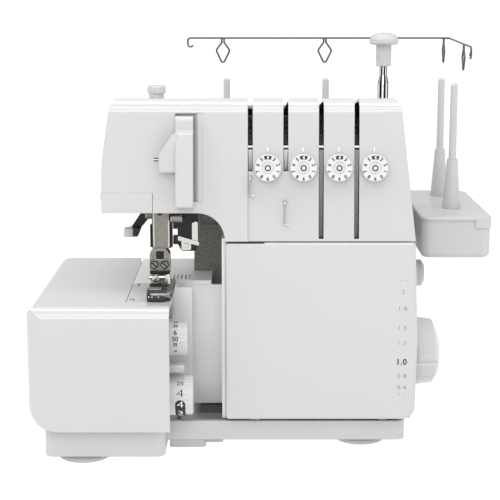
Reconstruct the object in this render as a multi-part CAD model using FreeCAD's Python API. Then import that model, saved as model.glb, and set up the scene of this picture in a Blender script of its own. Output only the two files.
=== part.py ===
"""Four-thread overlock sewing machine: housings, covers, sewing mechanism, drive and thread stand.

Millimetres. +X is the operator's right, +Y goes to the back, +Z is up. The origin lies on the table,
under the middle of the whole machine.
"""
import FreeCAD, Part
import math
import os

V = FreeCAD.Vector

# Overall envelope
HALF_WIDTH = 168.0            # cloth plate on the left, thread stand on the right
HALF_DEPTH = 117.0            # cloth plate at the front, thread stand at the back
WALL = 2.5                    # moulded housing wall
FIT = 0.05                    # radial running clearance of a shaft in its bush
GAP = 0.4                     # clearance between parts that move past each other

# Base and feet
FOOT_HEIGHT = 6.0
FOOT_RADIUS = 20.0
BASE_TOP = 20.0
BASE_FLOOR = 3.0
BASE_LEFT = -157.0
BASE_STEP_X = -73.5           # the left block of the base stands further forward
BASE_RIGHT = 97.0
BASE_FRONT_LEFT = -110.0
BASE_FRONT_RIGHT = -76.0
BASE_BACK = 58.0
FLOOR_Z = FOOT_HEIGHT + BASE_FLOOR

# Upper housing: head on the left, tension panel on the right
HEAD_LEFT = -118.0
HEAD_BOTTOM = 172.0
HEAD_BEND_Z = 206.0           # above this the head's left side draws in
HEAD_DRAW_IN = 6.5
HEAD_BEND_ROUND = 110.0
SEAM_Z = 186.0                # top edge of the face cover
SEAM_GAP = 0.25
STEP_X = -42.0                # soft rise of the face beside the first slot
STEP_RUN = 15.0
STEP_RISE = 1.1
TOP_Z = 252.0
TOP_BACK_Z = 234.0            # the top falls towards the back
PARTING_Z = 152.5             # top edge of the looper cover
BODY_RIGHT_LOW = 101.3
BODY_RIGHT_TOP = 90.0
BODY_BACK = 58.0
FACE_Y_LOW = -81.0            # the face leans back towards the top
FACE_Y_TOP = -70.0
SPLIT_Y = 0.0                 # front and rear housings meet here
COLUMN_LEFT = -32.0
THROAT_X = -57.0              # left side of the column behind the needle
ARCH_RADIUS = 19.2
TOP_ROUND = 10.0

# Bed and cloth plate
BED_Z = 113.0
CLOTH_BOTTOM = 26.0
CLOTH_RIGHT = -69.3
CLOTH_BACK = 49.0
PLATE_LEFT = -100.0           # needle plate
PLATE_FRONT = -96.0
PLATE_BACK = -40.0
PLATE_THICK = 3.0
PIVOT_X = -151.5              # vertical hinge of the cloth plate
PIVOT_Y = 40.0
PIN_RADIUS = 2.5

# Looper cover
COVER_BOTTOM = 24.0
COVER_FRONT_LOW = -85.0
COVER_FRONT_TOP = -81.5
COVER_DEPTH_BACK = -71.0
COVER_RIGHT = 104.0
COVER_AXIS_Y = -79.0
COVER_AXIS_Z = 28.0
COVER_ROD_RADIUS = 2.0
COVER_GAP = 0.7

# Needle and presser
NEEDLE_X = -77.2
NEEDLE_BAR_WIDTH = 13.6
NEEDLE_BAR_FRONT = -68.5
NEEDLE_BAR_DEPTH = 10.0
NEEDLE_BAR_LOW = 145.0
NEEDLE_BAR_TOP = 209.0
NEEDLE_STROKE = 26.0
CLAMP_BOTTOM = 129.0
PRESSER_X = -81.0
PRESSER_Y = -46.0
PRESSER_RADIUS = 3.5
FOOT_CLEAR = 0.3

# Drive
SHAFT_Y = 22.0
SHAFT_Z = 107.0
SHAFT_RADIUS = 6.0
BUSH_WALL = 3.0
FRAME_THICK = 6.0
FRAME_LEFT_X = -28.5
FRAME_RIGHT_X = 76.0
FRAME_FRONT = -26.0
FRAME_BACK = 46.0
MOTOR_Z = 48.0
MOTOR_RADIUS = 22.0
MOTOR_LENGTH = 66.0
PULLEY_RADIUS = 24.0
MOTOR_PULLEY_RADIUS = 8.0
PULLEY_WIDTH = 8.0
BELT_THICK = 2.0
BELT_WIDTH = 6.0
ROCKER_Y = -3.0
ROCKER_Z = 218.0
ROCKER_RADIUS = 5.0
ROCKER_REACH = 62.0
ROCKER_TILT = 12.0            # degrees below level with the needle bar down
ECCENTRIC = 3.7

# Tension units
SLOT_FIRST_X = -14.3
SLOT_PITCH = 24.7
SLOT_WIDTH = 3.4
SLOT_BACK = 36.0              # the slots run over the top as far as this
SLOT_FLARE = 1.6
SHORT_SLOT_Z = 201.0
LONG_SLOT_LIFT = 1.6
DIAL_RADIUS = 9.8
DIAL_Z = 203.5
DIAL_DEPTH = 7.0
DIAL_FIRST_X = SLOT_FIRST_X + 12.1

# Thread stand
STAND_TOP = 157.6
STAND_HEIGHT = 32.0
STAND_LEFT = -64.0
STAND_ARM_X = 114.0           # inner side of the arm beside the machine
STAND_ARM_FRONT = -13.0
PIN_ROW_Y = 89.0
PIN_FRONT_Y = 27.0
PIN_XS = (-33.5, 47.3, 142.0)
CONE_HEIGHT = 38.6
POLE_X = 94.3
POLE_Y = PIN_ROW_Y
WIRE_Z = 287.0
PIN_BELOW_WIRE = 32.5         # spool pins end this far under the guide wire
SPOOL_PIN_TOP = WIRE_Z - PIN_BELOW_WIRE
SLEEVE_DROP = 22.7            # lower end of the sleeve under the wire
NECK_DROP = 30.5              # narrow neck of the tube begins here
TAPER_LENGTH = 6.0
CAP_DROP = 5.2
WIRE_RADIUS = 0.75


# Small builders

def box(x0, x1, y0, y1, z0, z1):
    return Part.makeBox(x1 - x0, y1 - y0, z1 - z0, V(x0, y0, z0))


def cyl_x(x0, x1, y, z, r):
    return Part.makeCylinder(r, x1 - x0, V(x0, y, z), V(1, 0, 0))


def cyl_y(y0, y1, x, z, r):
    return Part.makeCylinder(r, y1 - y0, V(x, y0, z), V(0, 1, 0))


def cyl_z(z0, z1, x, y, r):
    return Part.makeCylinder(r, z1 - z0, V(x, y, z0), V(0, 0, 1))


def fused(*shapes):
    solid = shapes[0].multiFuse(list(shapes[1:])) if len(shapes) > 1 else shapes[0]
    return solid.removeSplitter()


def rounded_wire(points, to_3d):
    """Closed outline through (a, b, radius) corners; radius 0 leaves the corner sharp."""
    n = len(points)
    edges = []
    starts, ends, mids = [], [], []
    for i in range(n):
        a0, b0, _ = points[i - 1]
        a1, b1, r = points[i]
        a2, b2, _ = points[(i + 1) % n]
        u = FreeCAD.Vector(a0 - a1, b0 - b1, 0).normalize()
        w = FreeCAD.Vector(a2 - a1, b2 - b1, 0).normalize()
        half = u.getAngle(w) / 2
        if r == 0:
            starts.append((a1, b1))
            ends.append((a1, b1))
            mids.append(None)
            continue
        reach = r / math.tan(half)
        bis = (u + w).normalize()
        cx, cy = a1 + bis.x * r / math.sin(half), b1 + bis.y * r / math.sin(half)
        starts.append((a1 + u.x * reach, b1 + u.y * reach))
        ends.append((a1 + w.x * reach, b1 + w.y * reach))
        mids.append((cx - bis.x * r, cy - bis.y * r))
    for i in range(n):
        if mids[i]:
            edges.append(Part.Arc(to_3d(*starts[i]), to_3d(*mids[i]), to_3d(*ends[i])).toShape())
        p, q = to_3d(*ends[i]), to_3d(*starts[(i + 1) % n])
        if p.distanceToPoint(q) > 1e-6:
            edges.append(Part.makeLine(p, q))
    return Part.Wire(Part.__sortEdges__(edges))


def slab_xz(points, y0, y1):
    face = Part.Face(rounded_wire(points, lambda a, b: V(a, y0, b)))
    return face.extrude(V(0, y1 - y0, 0))


def slab_yz(points, x0, x1):
    face = Part.Face(rounded_wire(points, lambda a, b: V(x0, a, b)))
    return face.extrude(V(x1 - x0, 0, 0))


def slab_xy(points, z0, z1):
    face = Part.Face(rounded_wire(points, lambda a, b: V(a, b, z0)))
    return face.extrude(V(0, 0, z1 - z0))


def rect(a0, a1, b0, b1, r):
    return [(a0, b0, r), (a1, b0, r), (a1, b1, r), (a0, b1, r)]


def revolve_z(profile, x, y):
    """Solid of revolution about a vertical axis from (radius, z) points."""
    wire = Part.makePolygon([V(x + r, y, z) for r, z in profile] + [V(x + profile[0][0], y, profile[0][1])])
    return Part.Face(wire).revolve(V(x, y, 0), V(0, 0, 1), 360)


def revolve_x(profile, y, z):
    """Solid of revolution about an axis along X from (x, radius) points."""
    wire = Part.makePolygon([V(x, y, z + r) for x, r in profile] + [V(profile[0][0], y, z + profile[0][1])])
    return Part.Face(wire).revolve(V(0, y, z), V(1, 0, 0), 360)


def link_xz(y0, y1, *ends):
    """Flat link, extruded along Y, round about each (x, z, radius) end."""
    parts = [cyl_y(y0, y1, x, z, r) for x, z, r in ends]
    for (xa, za, ra), (xb, zb, rb) in zip(ends, ends[1:]):
        parts.append(slab_xz([(p[0], p[1], 0) for p in tangent_quad(xa, za, ra, xb, zb, rb)], y0, y1))
    return fused(*parts)


def link_yz(x0, x1, *ends):
    """Flat link, extruded along X, round about each (y, z, radius) end."""
    parts = [cyl_x(x0, x1, y, z, r) for y, z, r in ends]
    for (ya, za, ra), (yb, zb, rb) in zip(ends, ends[1:]):
        parts.append(slab_yz([(p[0], p[1], 0) for p in tangent_quad(ya, za, ra, yb, zb, rb)], x0, x1))
    return fused(*parts)


def tangent_quad(xa, za, ra, xb, zb, rb):
    """Corners of the strip between the two outer tangents of a pair of circles."""
    d = math.hypot(xb - xa, zb - za)
    along = math.atan2(zb - za, xb - xa)
    turn = math.acos((ra - rb) / d)
    corners = []
    for x, z, r, s in ((xa, za, ra, 1), (xb, zb, rb, 1), (xb, zb, rb, -1), (xa, za, ra, -1)):
        a = along + s * turn
        corners.append((x + r * math.cos(a), z + r * math.sin(a)))
    return corners


def pipe(points, radius):
    """Round bar along straight runs joined by arcs; each point is (x, y, z, bend radius)."""
    edges = []
    last = None
    n = len(points)
    for i, (x, y, z, r) in enumerate(points):
        here = V(x, y, z)
        if r and 0 < i < n - 1:
            u = (V(*points[i - 1][:3]) - here).normalize()
            w = (V(*points[i + 1][:3]) - here).normalize()
            half = u.getAngle(w) / 2
            reach = r / math.tan(half)
            bis = (u + w).normalize()
            mid = here + bis * (r / math.sin(half) - r)
            a, b = here + u * reach, here + w * reach
            edges.append(Part.makeLine(last, a))
            edges.append(Part.Arc(a, mid, b).toShape())
            last = b
        else:
            if last is not None:
                edges.append(Part.makeLine(last, here))
            last = here
    path = Part.Wire(edges)
    start = edges[0].valueAt(edges[0].FirstParameter)
    heading = edges[0].tangentAt(edges[0].FirstParameter)
    section = Part.Wire(Part.makeCircle(radius, start, heading))
    return path.makePipeShell([section], True, True)


def face_y(z):
    """Front of the leaning tension panel at height z."""
    share = (z - PARTING_Z) / (TOP_Z - PARTING_Z)
    return FACE_Y_LOW + share * (FACE_Y_TOP - FACE_Y_LOW)


# Housings

def side_profile(inset, low):
    """Side view of the upper body: leaning face, rounded top, upright back."""
    return [
        (face_y(low) + inset, low, 0),
        (face_y(TOP_Z) + inset, TOP_Z - inset, TOP_ROUND - inset),
        (BODY_BACK - inset, TOP_BACK_Z - inset, TOP_ROUND - inset),
        (BODY_BACK - inset, low, 0),
    ]


def top_z(y):
    """Height of the falling top at depth y."""
    share = (y - face_y(TOP_Z)) / (BODY_BACK - face_y(TOP_Z))
    return TOP_Z - share * (TOP_Z - TOP_BACK_Z)


def head_left(inset):
    """Left side of the head, drawn in above its bend."""
    left = HEAD_LEFT + inset
    return [
        (left, HEAD_BOTTOM + inset, 0),
        (left, HEAD_BEND_Z, HEAD_BEND_ROUND),
        (left + HEAD_DRAW_IN, TOP_Z - inset, TOP_ROUND - inset),
    ]


def right_x(z):
    """Right side of the body, drawn in towards the top."""
    share = (z - PARTING_Z) / (TOP_Z - PARTING_Z)
    return BODY_RIGHT_LOW + share * (BODY_RIGHT_TOP - BODY_RIGHT_LOW)


def upper_outline(inset):
    """Front view of the upper body, with the arch over the sewing area."""
    top = TOP_Z - inset
    low = PARTING_Z - (inset and 1.0)
    arch = ARCH_RADIUS
    return head_left(inset) + [
        (right_x(TOP_Z) - inset, top, TOP_ROUND - inset),
        (right_x(low) - inset, low, 0),
        (COLUMN_LEFT + inset, low, 0),
        (COLUMN_LEFT + inset, HEAD_BOTTOM + inset, arch),
    ]


def upper_form(inset):
    across = slab_xz(upper_outline(inset), FACE_Y_LOW - 5, BODY_BACK + 5)
    along = slab_yz(side_profile(inset, PARTING_Z - 2), HEAD_LEFT - 5, BODY_RIGHT_LOW + 5)
    return across.common(along)


def rear_outline(inset):
    """Front view of the rear housing, with the column down to the base."""
    low = BASE_TOP + (inset and -1.0)
    return head_left(inset) + [
        (right_x(TOP_Z) - inset, TOP_Z - inset, TOP_ROUND - inset),
        (BODY_RIGHT_LOW - inset, PARTING_Z, 0),
        (BODY_RIGHT_LOW - inset, low, 0),
        (THROAT_X + inset, low, 0),
        (THROAT_X + inset, HEAD_BOTTOM + inset, 0),
    ]


def rear_form(inset):
    across = slab_xz(rear_outline(inset), SPLIT_Y, BODY_BACK + 5)
    along = slab_yz(side_profile(inset, BASE_TOP - 2), HEAD_LEFT - 5, BODY_RIGHT_LOW + 5)
    return across.common(along)


def slot_x(i):
    return SLOT_FIRST_X + i * SLOT_PITCH


def dial_x(i):
    return DIAL_FIRST_X + i * SLOT_PITCH


def slot_bottom(i):
    return SHORT_SLOT_Z if i < 2 else PARTING_Z + LONG_SLOT_LIFT


def slot_cut(i):
    """Space of one thread slot: up the face, over the rounded top and back along it."""
    x = slot_x(i)
    half = SLOT_WIDTH / 2
    mouth = half + SLOT_FLARE
    run = box(x - half, x + half, -100, SLOT_BACK, slot_bottom(i), TOP_Z + 5)
    flare = slab_xz([(x - half, TOP_Z - 3, 0), (x + half, TOP_Z - 3, 0), (x + mouth, TOP_Z + 1, 0),
                     (x - mouth, TOP_Z + 1, 0)], -100, SPLIT_Y)
    return run.fuse(flare)


def panel_step():
    """Soft rise of the face from the head to the tension panel."""
    profile = rounded_wire(side_profile(0, PARTING_Z - 2), lambda a, b: V(STEP_X, a, b))
    foot = Part.Face(profile)
    ramp = foot.extrude(V(STEP_RUN, -STEP_RISE, 0))
    crest = foot.copy()
    crest.translate(V(STEP_RUN, -STEP_RISE, 0))
    crest = crest.extrude(V(slot_x(0) - SLOT_WIDTH / 2 - STEP_X - STEP_RUN, 0, 0))
    across = slab_xz(upper_outline(0), FACE_Y_LOW - 5, SPLIT_Y)
    return ramp.fuse(crest).common(across).cut(upper_form(WALL))


FACE_LEAN = math.degrees(math.atan2(FACE_Y_TOP - FACE_Y_LOW, TOP_Z - PARTING_Z))


def on_face(shape, x, z):
    """Places a shape drawn about the origin, its front towards -Y, onto the leaning panel."""
    placed = shape.copy()
    placed.rotate(V(0, 0, 0), V(1, 0, 0), -FACE_LEAN)
    placed.translate(V(x, face_y(z), z))
    return placed


HEAD_OPENING = (-92.0, -46.0, -75.0, 6.0)
PILLAR_X = (-66.0, -53.5)
FACE_SEAM_X = -82.2


def front_panel():
    """Front and top shell of the head and tension panel."""
    shell = upper_form(0).cut(upper_form(WALL))
    shell = shell.common(box(-200, 200, -200, SPLIT_Y, 0, 300))
    cuts = []
    for i in range(4):
        cuts.append(slot_cut(i))
        cuts.append(on_face(cyl_y(-5, 12, 0, 0, 4.0), dial_x(i), DIAL_Z))
    x0, x1, y0, y1 = HEAD_OPENING
    cuts.append(box(x0, x1, y0, y1, HEAD_BOTTOM - 1, HEAD_BOTTOM + WALL + 1))
    cuts.append(cyl_z(TOP_Z - 12, TOP_Z + 5, PRESSER_X, PRESSER_Y, 4.5))
    cuts.append(slab_xz(rect(PILLAR_X[0] - 0.3, PILLAR_X[1] + 6, 180, 241, 0.3), -100, WELL_Y))
    cuts.append(face_cover_form())
    shell = shell.multiFuse([pillar_well(), panel_step()])
    return shell.cut(Part.Compound(cuts))


def face_cover_form():
    """Strip of the head's shell left of the needle, below the seam."""
    return box(HEAD_LEFT - 1, FACE_SEAM_X, -100, -30, HEAD_BOTTOM - 1, SEAM_Z)


WELL_Y = -68.0


def pillar_well():
    """Sunk back wall behind the take-up cover."""
    x0, x1 = PILLAR_X[0] - 0.3, PILLAR_X[1] + 6
    well = slab_xz(rect(x0 - 1.6, x1 + WALL, 180 - WALL, 241 + 1, 2), -80, WELL_Y + 1.5)
    return well.common(upper_form(0.2))


def face_cover():
    """Face cover at the lower left of the head, with its thumb stud."""
    shell = upper_form(0).cut(upper_form(WALL))
    shell = shell.common(box(-200, FACE_SEAM_X - SEAM_GAP, -200, -30 - SEAM_GAP, 0, SEAM_Z - 0.02))
    x0, x1, y0, y1 = HEAD_OPENING
    shell = shell.cut(box(x0, x1, y0, y1, HEAD_BOTTOM - 1, HEAD_BOTTOM + WALL + 1))
    z, y = 180.0, -55.0
    x = HEAD_LEFT
    knob = revolve_x([(x - 3.2, 0), (x - 3.2, 2.2), (x - 1.6, 3.4), (x + 1, 3.4), (x + 1, 0)], y, z)
    return fused(shell, knob)


def rear_housing():
    """Back shell of the head and column, with the lower right flank."""
    shell = rear_form(0).cut(rear_form(WALL))
    shell = shell.common(box(-200, 200, SPLIT_Y, 200, 0, 300))
    cuts = [cyl_x(BODY_RIGHT_LOW - 8, BODY_RIGHT_LOW + 3, SHAFT_Y, SHAFT_Z, SHAFT_RADIUS + 2)]
    cuts.append(box(BODY_RIGHT_LOW - 6, BODY_RIGHT_LOW + 3, 12, 34, 42, 58))
    cuts.append(box(BODY_RIGHT_LOW - 6, BODY_RIGHT_LOW + 3, 10, 38, 64, 78))
    x0, x1, y0, y1 = HEAD_OPENING
    cuts.append(box(x0, x1, y0, y1, HEAD_BOTTOM - 1, HEAD_BOTTOM + WALL + 1))
    for i in range(7):
        cuts.append(slab_xz(rect(-20 + 10 * i, -16 + 10 * i, 36, 66, 2), BODY_BACK - 5, BODY_BACK + 2))
    cuts += [slot_cut(i) for i in range(4)]
    x = BODY_RIGHT_LOW
    front = COVER_DEPTH_BACK + 1.6
    flank = box(x - WALL, x, front, SPLIT_Y + 1, BASE_TOP, PARTING_Z - 0.2)
    rib = box(x - 7, x, front, front + WALL, BASE_TOP, PARTING_Z - 0.2)
    cuts.append(cyl_x(x - 5, x + 2, DIFF_Y, DIFF_Z, 6.0))
    return fused(shell, flank, rib).cut(Part.Compound(cuts))


DIFF_Y = -43.0
DIFF_Z = 63.0
DIFF_RADIUS = 25.0
DIFF_END = 125.5
DIFF_DOME = 6.5               # bulge of the end face
DIFF_RIM = 1.5
RIDGE_HALF = 5.5              # finger ridge along the drum
RIDGE_RISE = 1.4
RIDGE_ROOT = 4.0
RIDGE_ANGLE = 18.0            # degrees below level


def differential_dial():
    """Large dial on the right wall: drum with a domed end and one finger ridge."""
    x0, x1 = BODY_RIGHT_LOW + GAP, DIFF_END
    rim_x = x1 - DIFF_DOME
    drum = revolve_x([(x0, 0), (x0, DIFF_RADIUS - 1), (x0 + 6, DIFF_RADIUS), (rim_x, DIFF_RADIUS - DIFF_RIM),
                      (x1, DIFF_RADIUS - DIFF_RIM), (x1, 0)], DIFF_Y, DIFF_Z)
    reach = ((DIFF_RADIUS - DIFF_RIM) ** 2 + DIFF_DOME ** 2) / (2 * DIFF_DOME)
    dome = Part.makeSphere(reach, V(x1 - reach, DIFF_Y, DIFF_Z))
    drum = drum.common(dome)
    rim = [e for e in drum.Edges if abs(e.BoundBox.XMin - rim_x) < 0.1 and abs(e.BoundBox.XMax - rim_x) < 0.1]
    drum = drum.makeFillet(DIFF_RIM, rim)
    section = rect(DIFF_Y - DIFF_RADIUS - RIDGE_RISE, DIFF_Y - DIFF_RADIUS + RIDGE_ROOT, DIFF_Z - RIDGE_HALF,
                   DIFF_Z + RIDGE_HALF, RIDGE_RISE)
    ridge = slab_yz(section, x0 + 1, x1)
    ridge.rotate(V(0, DIFF_Y, DIFF_Z), V(1, 0, 0), RIDGE_ANGLE)
    ridge = ridge.common(Part.makeSphere(reach + RIDGE_RISE, V(x1 - reach, DIFF_Y, DIFF_Z)))
    stem = cyl_x(BODY_RIGHT_LOW - WALL - 6, x0 + 1, DIFF_Y, DIFF_Z, 6.0 - FIT)
    collar = cyl_x(BODY_RIGHT_LOW - WALL - 5, BODY_RIGHT_LOW - WALL - GAP, DIFF_Y, DIFF_Z, 9.0)
    return fused(drum, ridge, stem, collar)


def looper_cover():
    """Front cover over the loopers, a shell open to the back."""
    def outline(inset):
        left, right = COLUMN_LEFT + inset, COVER_RIGHT - inset
        return [
            (left, COVER_BOTTOM + inset, 3.0),
            (right - 1.5, COVER_BOTTOM + inset, 9.0),
            (right, 80.0, 0),
            (BODY_RIGHT_LOW - inset, PARTING_Z - COVER_GAP - inset, 2.6),
            (left, PARTING_Z - COVER_GAP - inset, 2.6),
        ]

    def side(inset):
        return [
            (COVER_FRONT_LOW + inset, COVER_BOTTOM - 1, 0),
            (COVER_FRONT_TOP + inset, PARTING_Z + 1, 0),
            (COVER_DEPTH_BACK + 1, PARTING_Z + 1, 0),
            (COVER_DEPTH_BACK + 1, COVER_BOTTOM - 1, 0),
        ]
    back = COVER_DEPTH_BACK
    outer = slab_xz(outline(0), -100, back).common(slab_yz(side(0), -50, 120))
    front = [e for e in outer.Edges if e.CenterOfMass.y < -79 and e.BoundBox.YMax < -79]
    outer = outer.makeFillet(2.2, front)
    inner = slab_xz(outline(WALL), -100, back + 1).common(slab_yz(side(WALL), -50, 120))
    shell = outer.cut(inner)
    knuckles = []
    for x in (-24.0, 88.0):
        ear = link_yz(x, x + 6, (COVER_AXIS_Y, COVER_AXIS_Z, 3.6), (COVER_AXIS_Y - 2.2, COVER_AXIS_Z, 3.0))
        knuckles.append(ear)
    ribs = [box(x, x + 1.6, -83.5, back - 3, 36, 140) for x in (10.0, 58.0)]
    ribs = [r.common(outer) for r in ribs]
    shell = fused(shell, *(knuckles + ribs))
    cuts = [cyl_x(-60, 130, COVER_AXIS_Y, COVER_AXIS_Z, COVER_ROD_RADIUS + FIT)]
    for x in HINGE_XS:
        cuts.append(box(x - 1, x + 7, -82.4, back + 1, COVER_BOTTOM - 1, COVER_AXIS_Z + 6))
    return shell.cut(Part.Compound(cuts))


HINGE_XS = (-14.0, 78.0)


def hinge_pins():
    """Hinge rod of the looper cover with its brackets, and the pivot pin of the cloth plate."""
    rod = cyl_x(-28, 96, COVER_AXIS_Y, COVER_AXIS_Z, COVER_ROD_RADIUS)
    legs = []
    for x in HINGE_XS:
        leg = link_yz(x, x + 6, (COVER_AXIS_Y, COVER_AXIS_Z, 3.0), (-71.5, COVER_AXIS_Z, 2.9))
        post = box(x, x + 6, -74.0, BASE_FRONT_RIGHT + 7.0, BASE_TOP, COVER_AXIS_Z)
        legs += [leg, post]
    pin = cyl_z(FLOOR_Z + 2, 102.0, PIVOT_X, PIVOT_Y, PIN_RADIUS)
    head = cyl_z(101.4, 103.5, PIVOT_X, PIVOT_Y, 4.2)
    return Part.Compound([fused(rod, *legs), fused(pin, head)])


# Base and bed

def base_outline(inset):
    r = 6.0 - inset / 2
    return [
        (BASE_LEFT + inset, BASE_FRONT_LEFT + inset, r),
        (BASE_STEP_X - inset, BASE_FRONT_LEFT + inset, r),
        (BASE_STEP_X - inset, BASE_FRONT_RIGHT + inset, 2.0),
        (BASE_RIGHT - inset, BASE_FRONT_RIGHT + inset, r),
        (BASE_RIGHT - inset, BASE_BACK - inset, r),
        (BASE_LEFT + inset, BASE_BACK - inset, r),
    ]


def base_pan():
    """Base tray: floor, rim and the pivot boss of the cloth plate."""
    outer = slab_xy(base_outline(0), FOOT_HEIGHT, BASE_TOP)
    raised = outer.copy()
    raised.translate(V(0, 0, 4.5))
    raised = raised.common(box(-200, BASE_STEP_X, -200, 200, 0, 100))
    inner = slab_xy(base_outline(3.0), FLOOR_Z, BASE_TOP + 10)
    tray = fused(outer, raised).cut(inner)
    boss = cyl_z(FLOOR_Z, CLOTH_BOTTOM + 1.5, PIVOT_X, PIVOT_Y, 5.0)
    seats = []
    for x in HINGE_XS:
        seats.append(box(x, x + 6, BASE_FRONT_RIGHT + 2, BASE_FRONT_RIGHT + 9, FLOOR_Z, BASE_TOP))
    seats.append(box(-69, -66, -40, -33, FLOOR_Z, BASE_TOP))
    tray = fused(tray, boss, *seats)
    return tray.cut(cyl_z(FLOOR_Z + 2, 60, PIVOT_X, PIVOT_Y, PIN_RADIUS))


FOOT_SPOTS = ((-131.5, -88.0), (66.0, -52.0), (-131.5, 30.0), (74.0, 30.0))


def feet():
    """Four round rubber feet and the block under the step of the base."""
    discs = []
    for x, y in FOOT_SPOTS:
        disc = revolve_z([(0, 0), (18.4, 0), (FOOT_RADIUS, 1.6), (FOOT_RADIUS, 3.0), (17.0, FOOT_HEIGHT),
                          (0, FOOT_HEIGHT)], x, y)
        discs.append(disc)
    block = slab_xy(rect(-72.5, -46.5, -75.5, -58.0, 3.0), 0, FOOT_HEIGHT)
    tab = slab_xy(rect(-46.5 - 2, -34.0, -72.0, -62.0, 2.0), 2.5, FOOT_HEIGHT)
    return Part.Compound(discs + [fused(block, tab)])


def cloth_plate():
    """Swing-away cover of the free arm: front, left side and top, open to the back and right."""
    def shell_form(inset):
        left, right = -HALF_WIDTH + inset, CLOTH_RIGHT + (inset and 1)
        outline = [(left, CLOTH_BOTTOM - (inset and 1), 22.0 - inset), (left, BED_Z - inset, 9.0 - inset),
                   (right, BED_Z - inset, 0), (right, CLOTH_BOTTOM - (inset and 1), 0)]
        side = [(-HALF_DEPTH + inset, CLOTH_BOTTOM - 2, 0), (-HALF_DEPTH + inset, BED_Z - inset, 9.0 - inset),
                (CLOTH_BACK + (inset and 1), BED_Z - inset, 0), (CLOTH_BACK + (inset and 1), CLOTH_BOTTOM - 2, 0)]
        plan = [(left, -HALF_DEPTH + inset, 14.0 - inset), (right, -HALF_DEPTH + inset, 0),
                (right, CLOTH_BACK + (inset and 1), 0), (left, CLOTH_BACK + (inset and 1), 12.0 - (inset and inset))]
        form = slab_xz(outline, -HALF_DEPTH - 5, CLOTH_BACK + 5)
        form = form.common(slab_yz(side, -HALF_WIDTH - 5, CLOTH_RIGHT + 5))
        return form.common(slab_xy(plan, CLOTH_BOTTOM - 5, BED_Z + 5))
    shell = shell_form(0).cut(shell_form(WALL))
    window = box(PLATE_LEFT - GAP, CLOTH_RIGHT + 5, PLATE_FRONT - GAP, CLOTH_BACK + 5, BED_Z - 6, BED_Z + 5)
    relief = box(PLATE_LEFT - GAP - 1.2, PLATE_LEFT, PIVOT_Y - 2, CLOTH_BACK + 5, BED_Z - 6, BED_Z + 5)
    shell = shell.cut(window).cut(relief)
    ears = []
    for z in (32.0, 94.0):
        ear = slab_xy(rect(-HALF_WIDTH + WALL - 0.6, PIVOT_X, PIVOT_Y - 5, PIVOT_Y + 5, 0), z, z + 7)
        ears += [ear, cyl_z(z, z + 7, PIVOT_X, PIVOT_Y, 5.0)]
    shell = fused(shell, *ears)
    return shell.cut(cyl_z(0, BED_Z - 5, PIVOT_X, PIVOT_Y, PIN_RADIUS + FIT))


NEEDLE_OFFSETS = (-4.0, 2.4)
NEEDLE_Y = NEEDLE_BAR_FRONT + NEEDLE_BAR_DEPTH / 2


def needle_plate():
    """Steel plate under the foot, with needle slot, feed slots and stitch finger."""
    z0 = BED_Z - PLATE_THICK
    plate = slab_xy(rect(PLATE_LEFT, CLOTH_RIGHT, PLATE_FRONT, PLATE_BACK, 2.0), z0, BED_Z)
    cuts = [slab_xy(rect(NEEDLE_X - 5.4, NEEDLE_X + 3.8, NEEDLE_Y - 1.6, NEEDLE_Y + 1.6, 1.4), z0 - 1, BED_Z + 1)]
    for y0, y1 in ((-92.0, -79.4), (-60.4, -44.0)):
        for x in (NEEDLE_X - 6.5, NEEDLE_X - 1.5, NEEDLE_X + 3.5):
            cuts.append(box(x - 1.2, x + 1.2, y0, y1, z0 - 1, BED_Z + 1))
    cuts.append(box(CLOTH_RIGHT - 2.6, CLOTH_RIGHT + 1, -78, -58, z0 - 1, BED_Z + 1))
    for x, y in ((PLATE_LEFT + 6, -88), (PLATE_LEFT + 6, -48)):
        cuts.append(cyl_z(BED_Z - 1.2, BED_Z + 1, x, y, 2.8))
    return plate.cut(Part.Compound(cuts))


def rear_bed_plate():
    """Fixed bed surface behind the needle plate, with the marked guide ledge on its right."""
    x0, x1 = PLATE_LEFT, CLOTH_RIGHT
    plate = box(x0, x1, PLATE_BACK + 0.2, CLOTH_BACK - 2, BED_Z - WALL, BED_Z)
    skirt = box(x0, x0 + WALL, PLATE_BACK + 0.2, CLOTH_BACK - 2, BED_Z - 12, BED_Z)
    wing = box(x1 - 1.0, THROAT_X - 0.3, -36.0, CLOTH_BACK - 2, BED_Z - 2, BED_Z)
    ledge = slab_xy(rect(x1 - 1.0, -43.0, -36.0, SPLIT_Y - WALL - 0.2, 1.0), BED_Z - 2, BED_Z + 1.2)
    marks = []
    for i in range(5):
        marks.append(box(-66 + 4.2 * i, -65.4 + 4.2 * i, -31, -22, BED_Z + 0.9, BED_Z + 2))
    return fused(plate, skirt, wing, ledge).cut(Part.Compound(marks))


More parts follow.
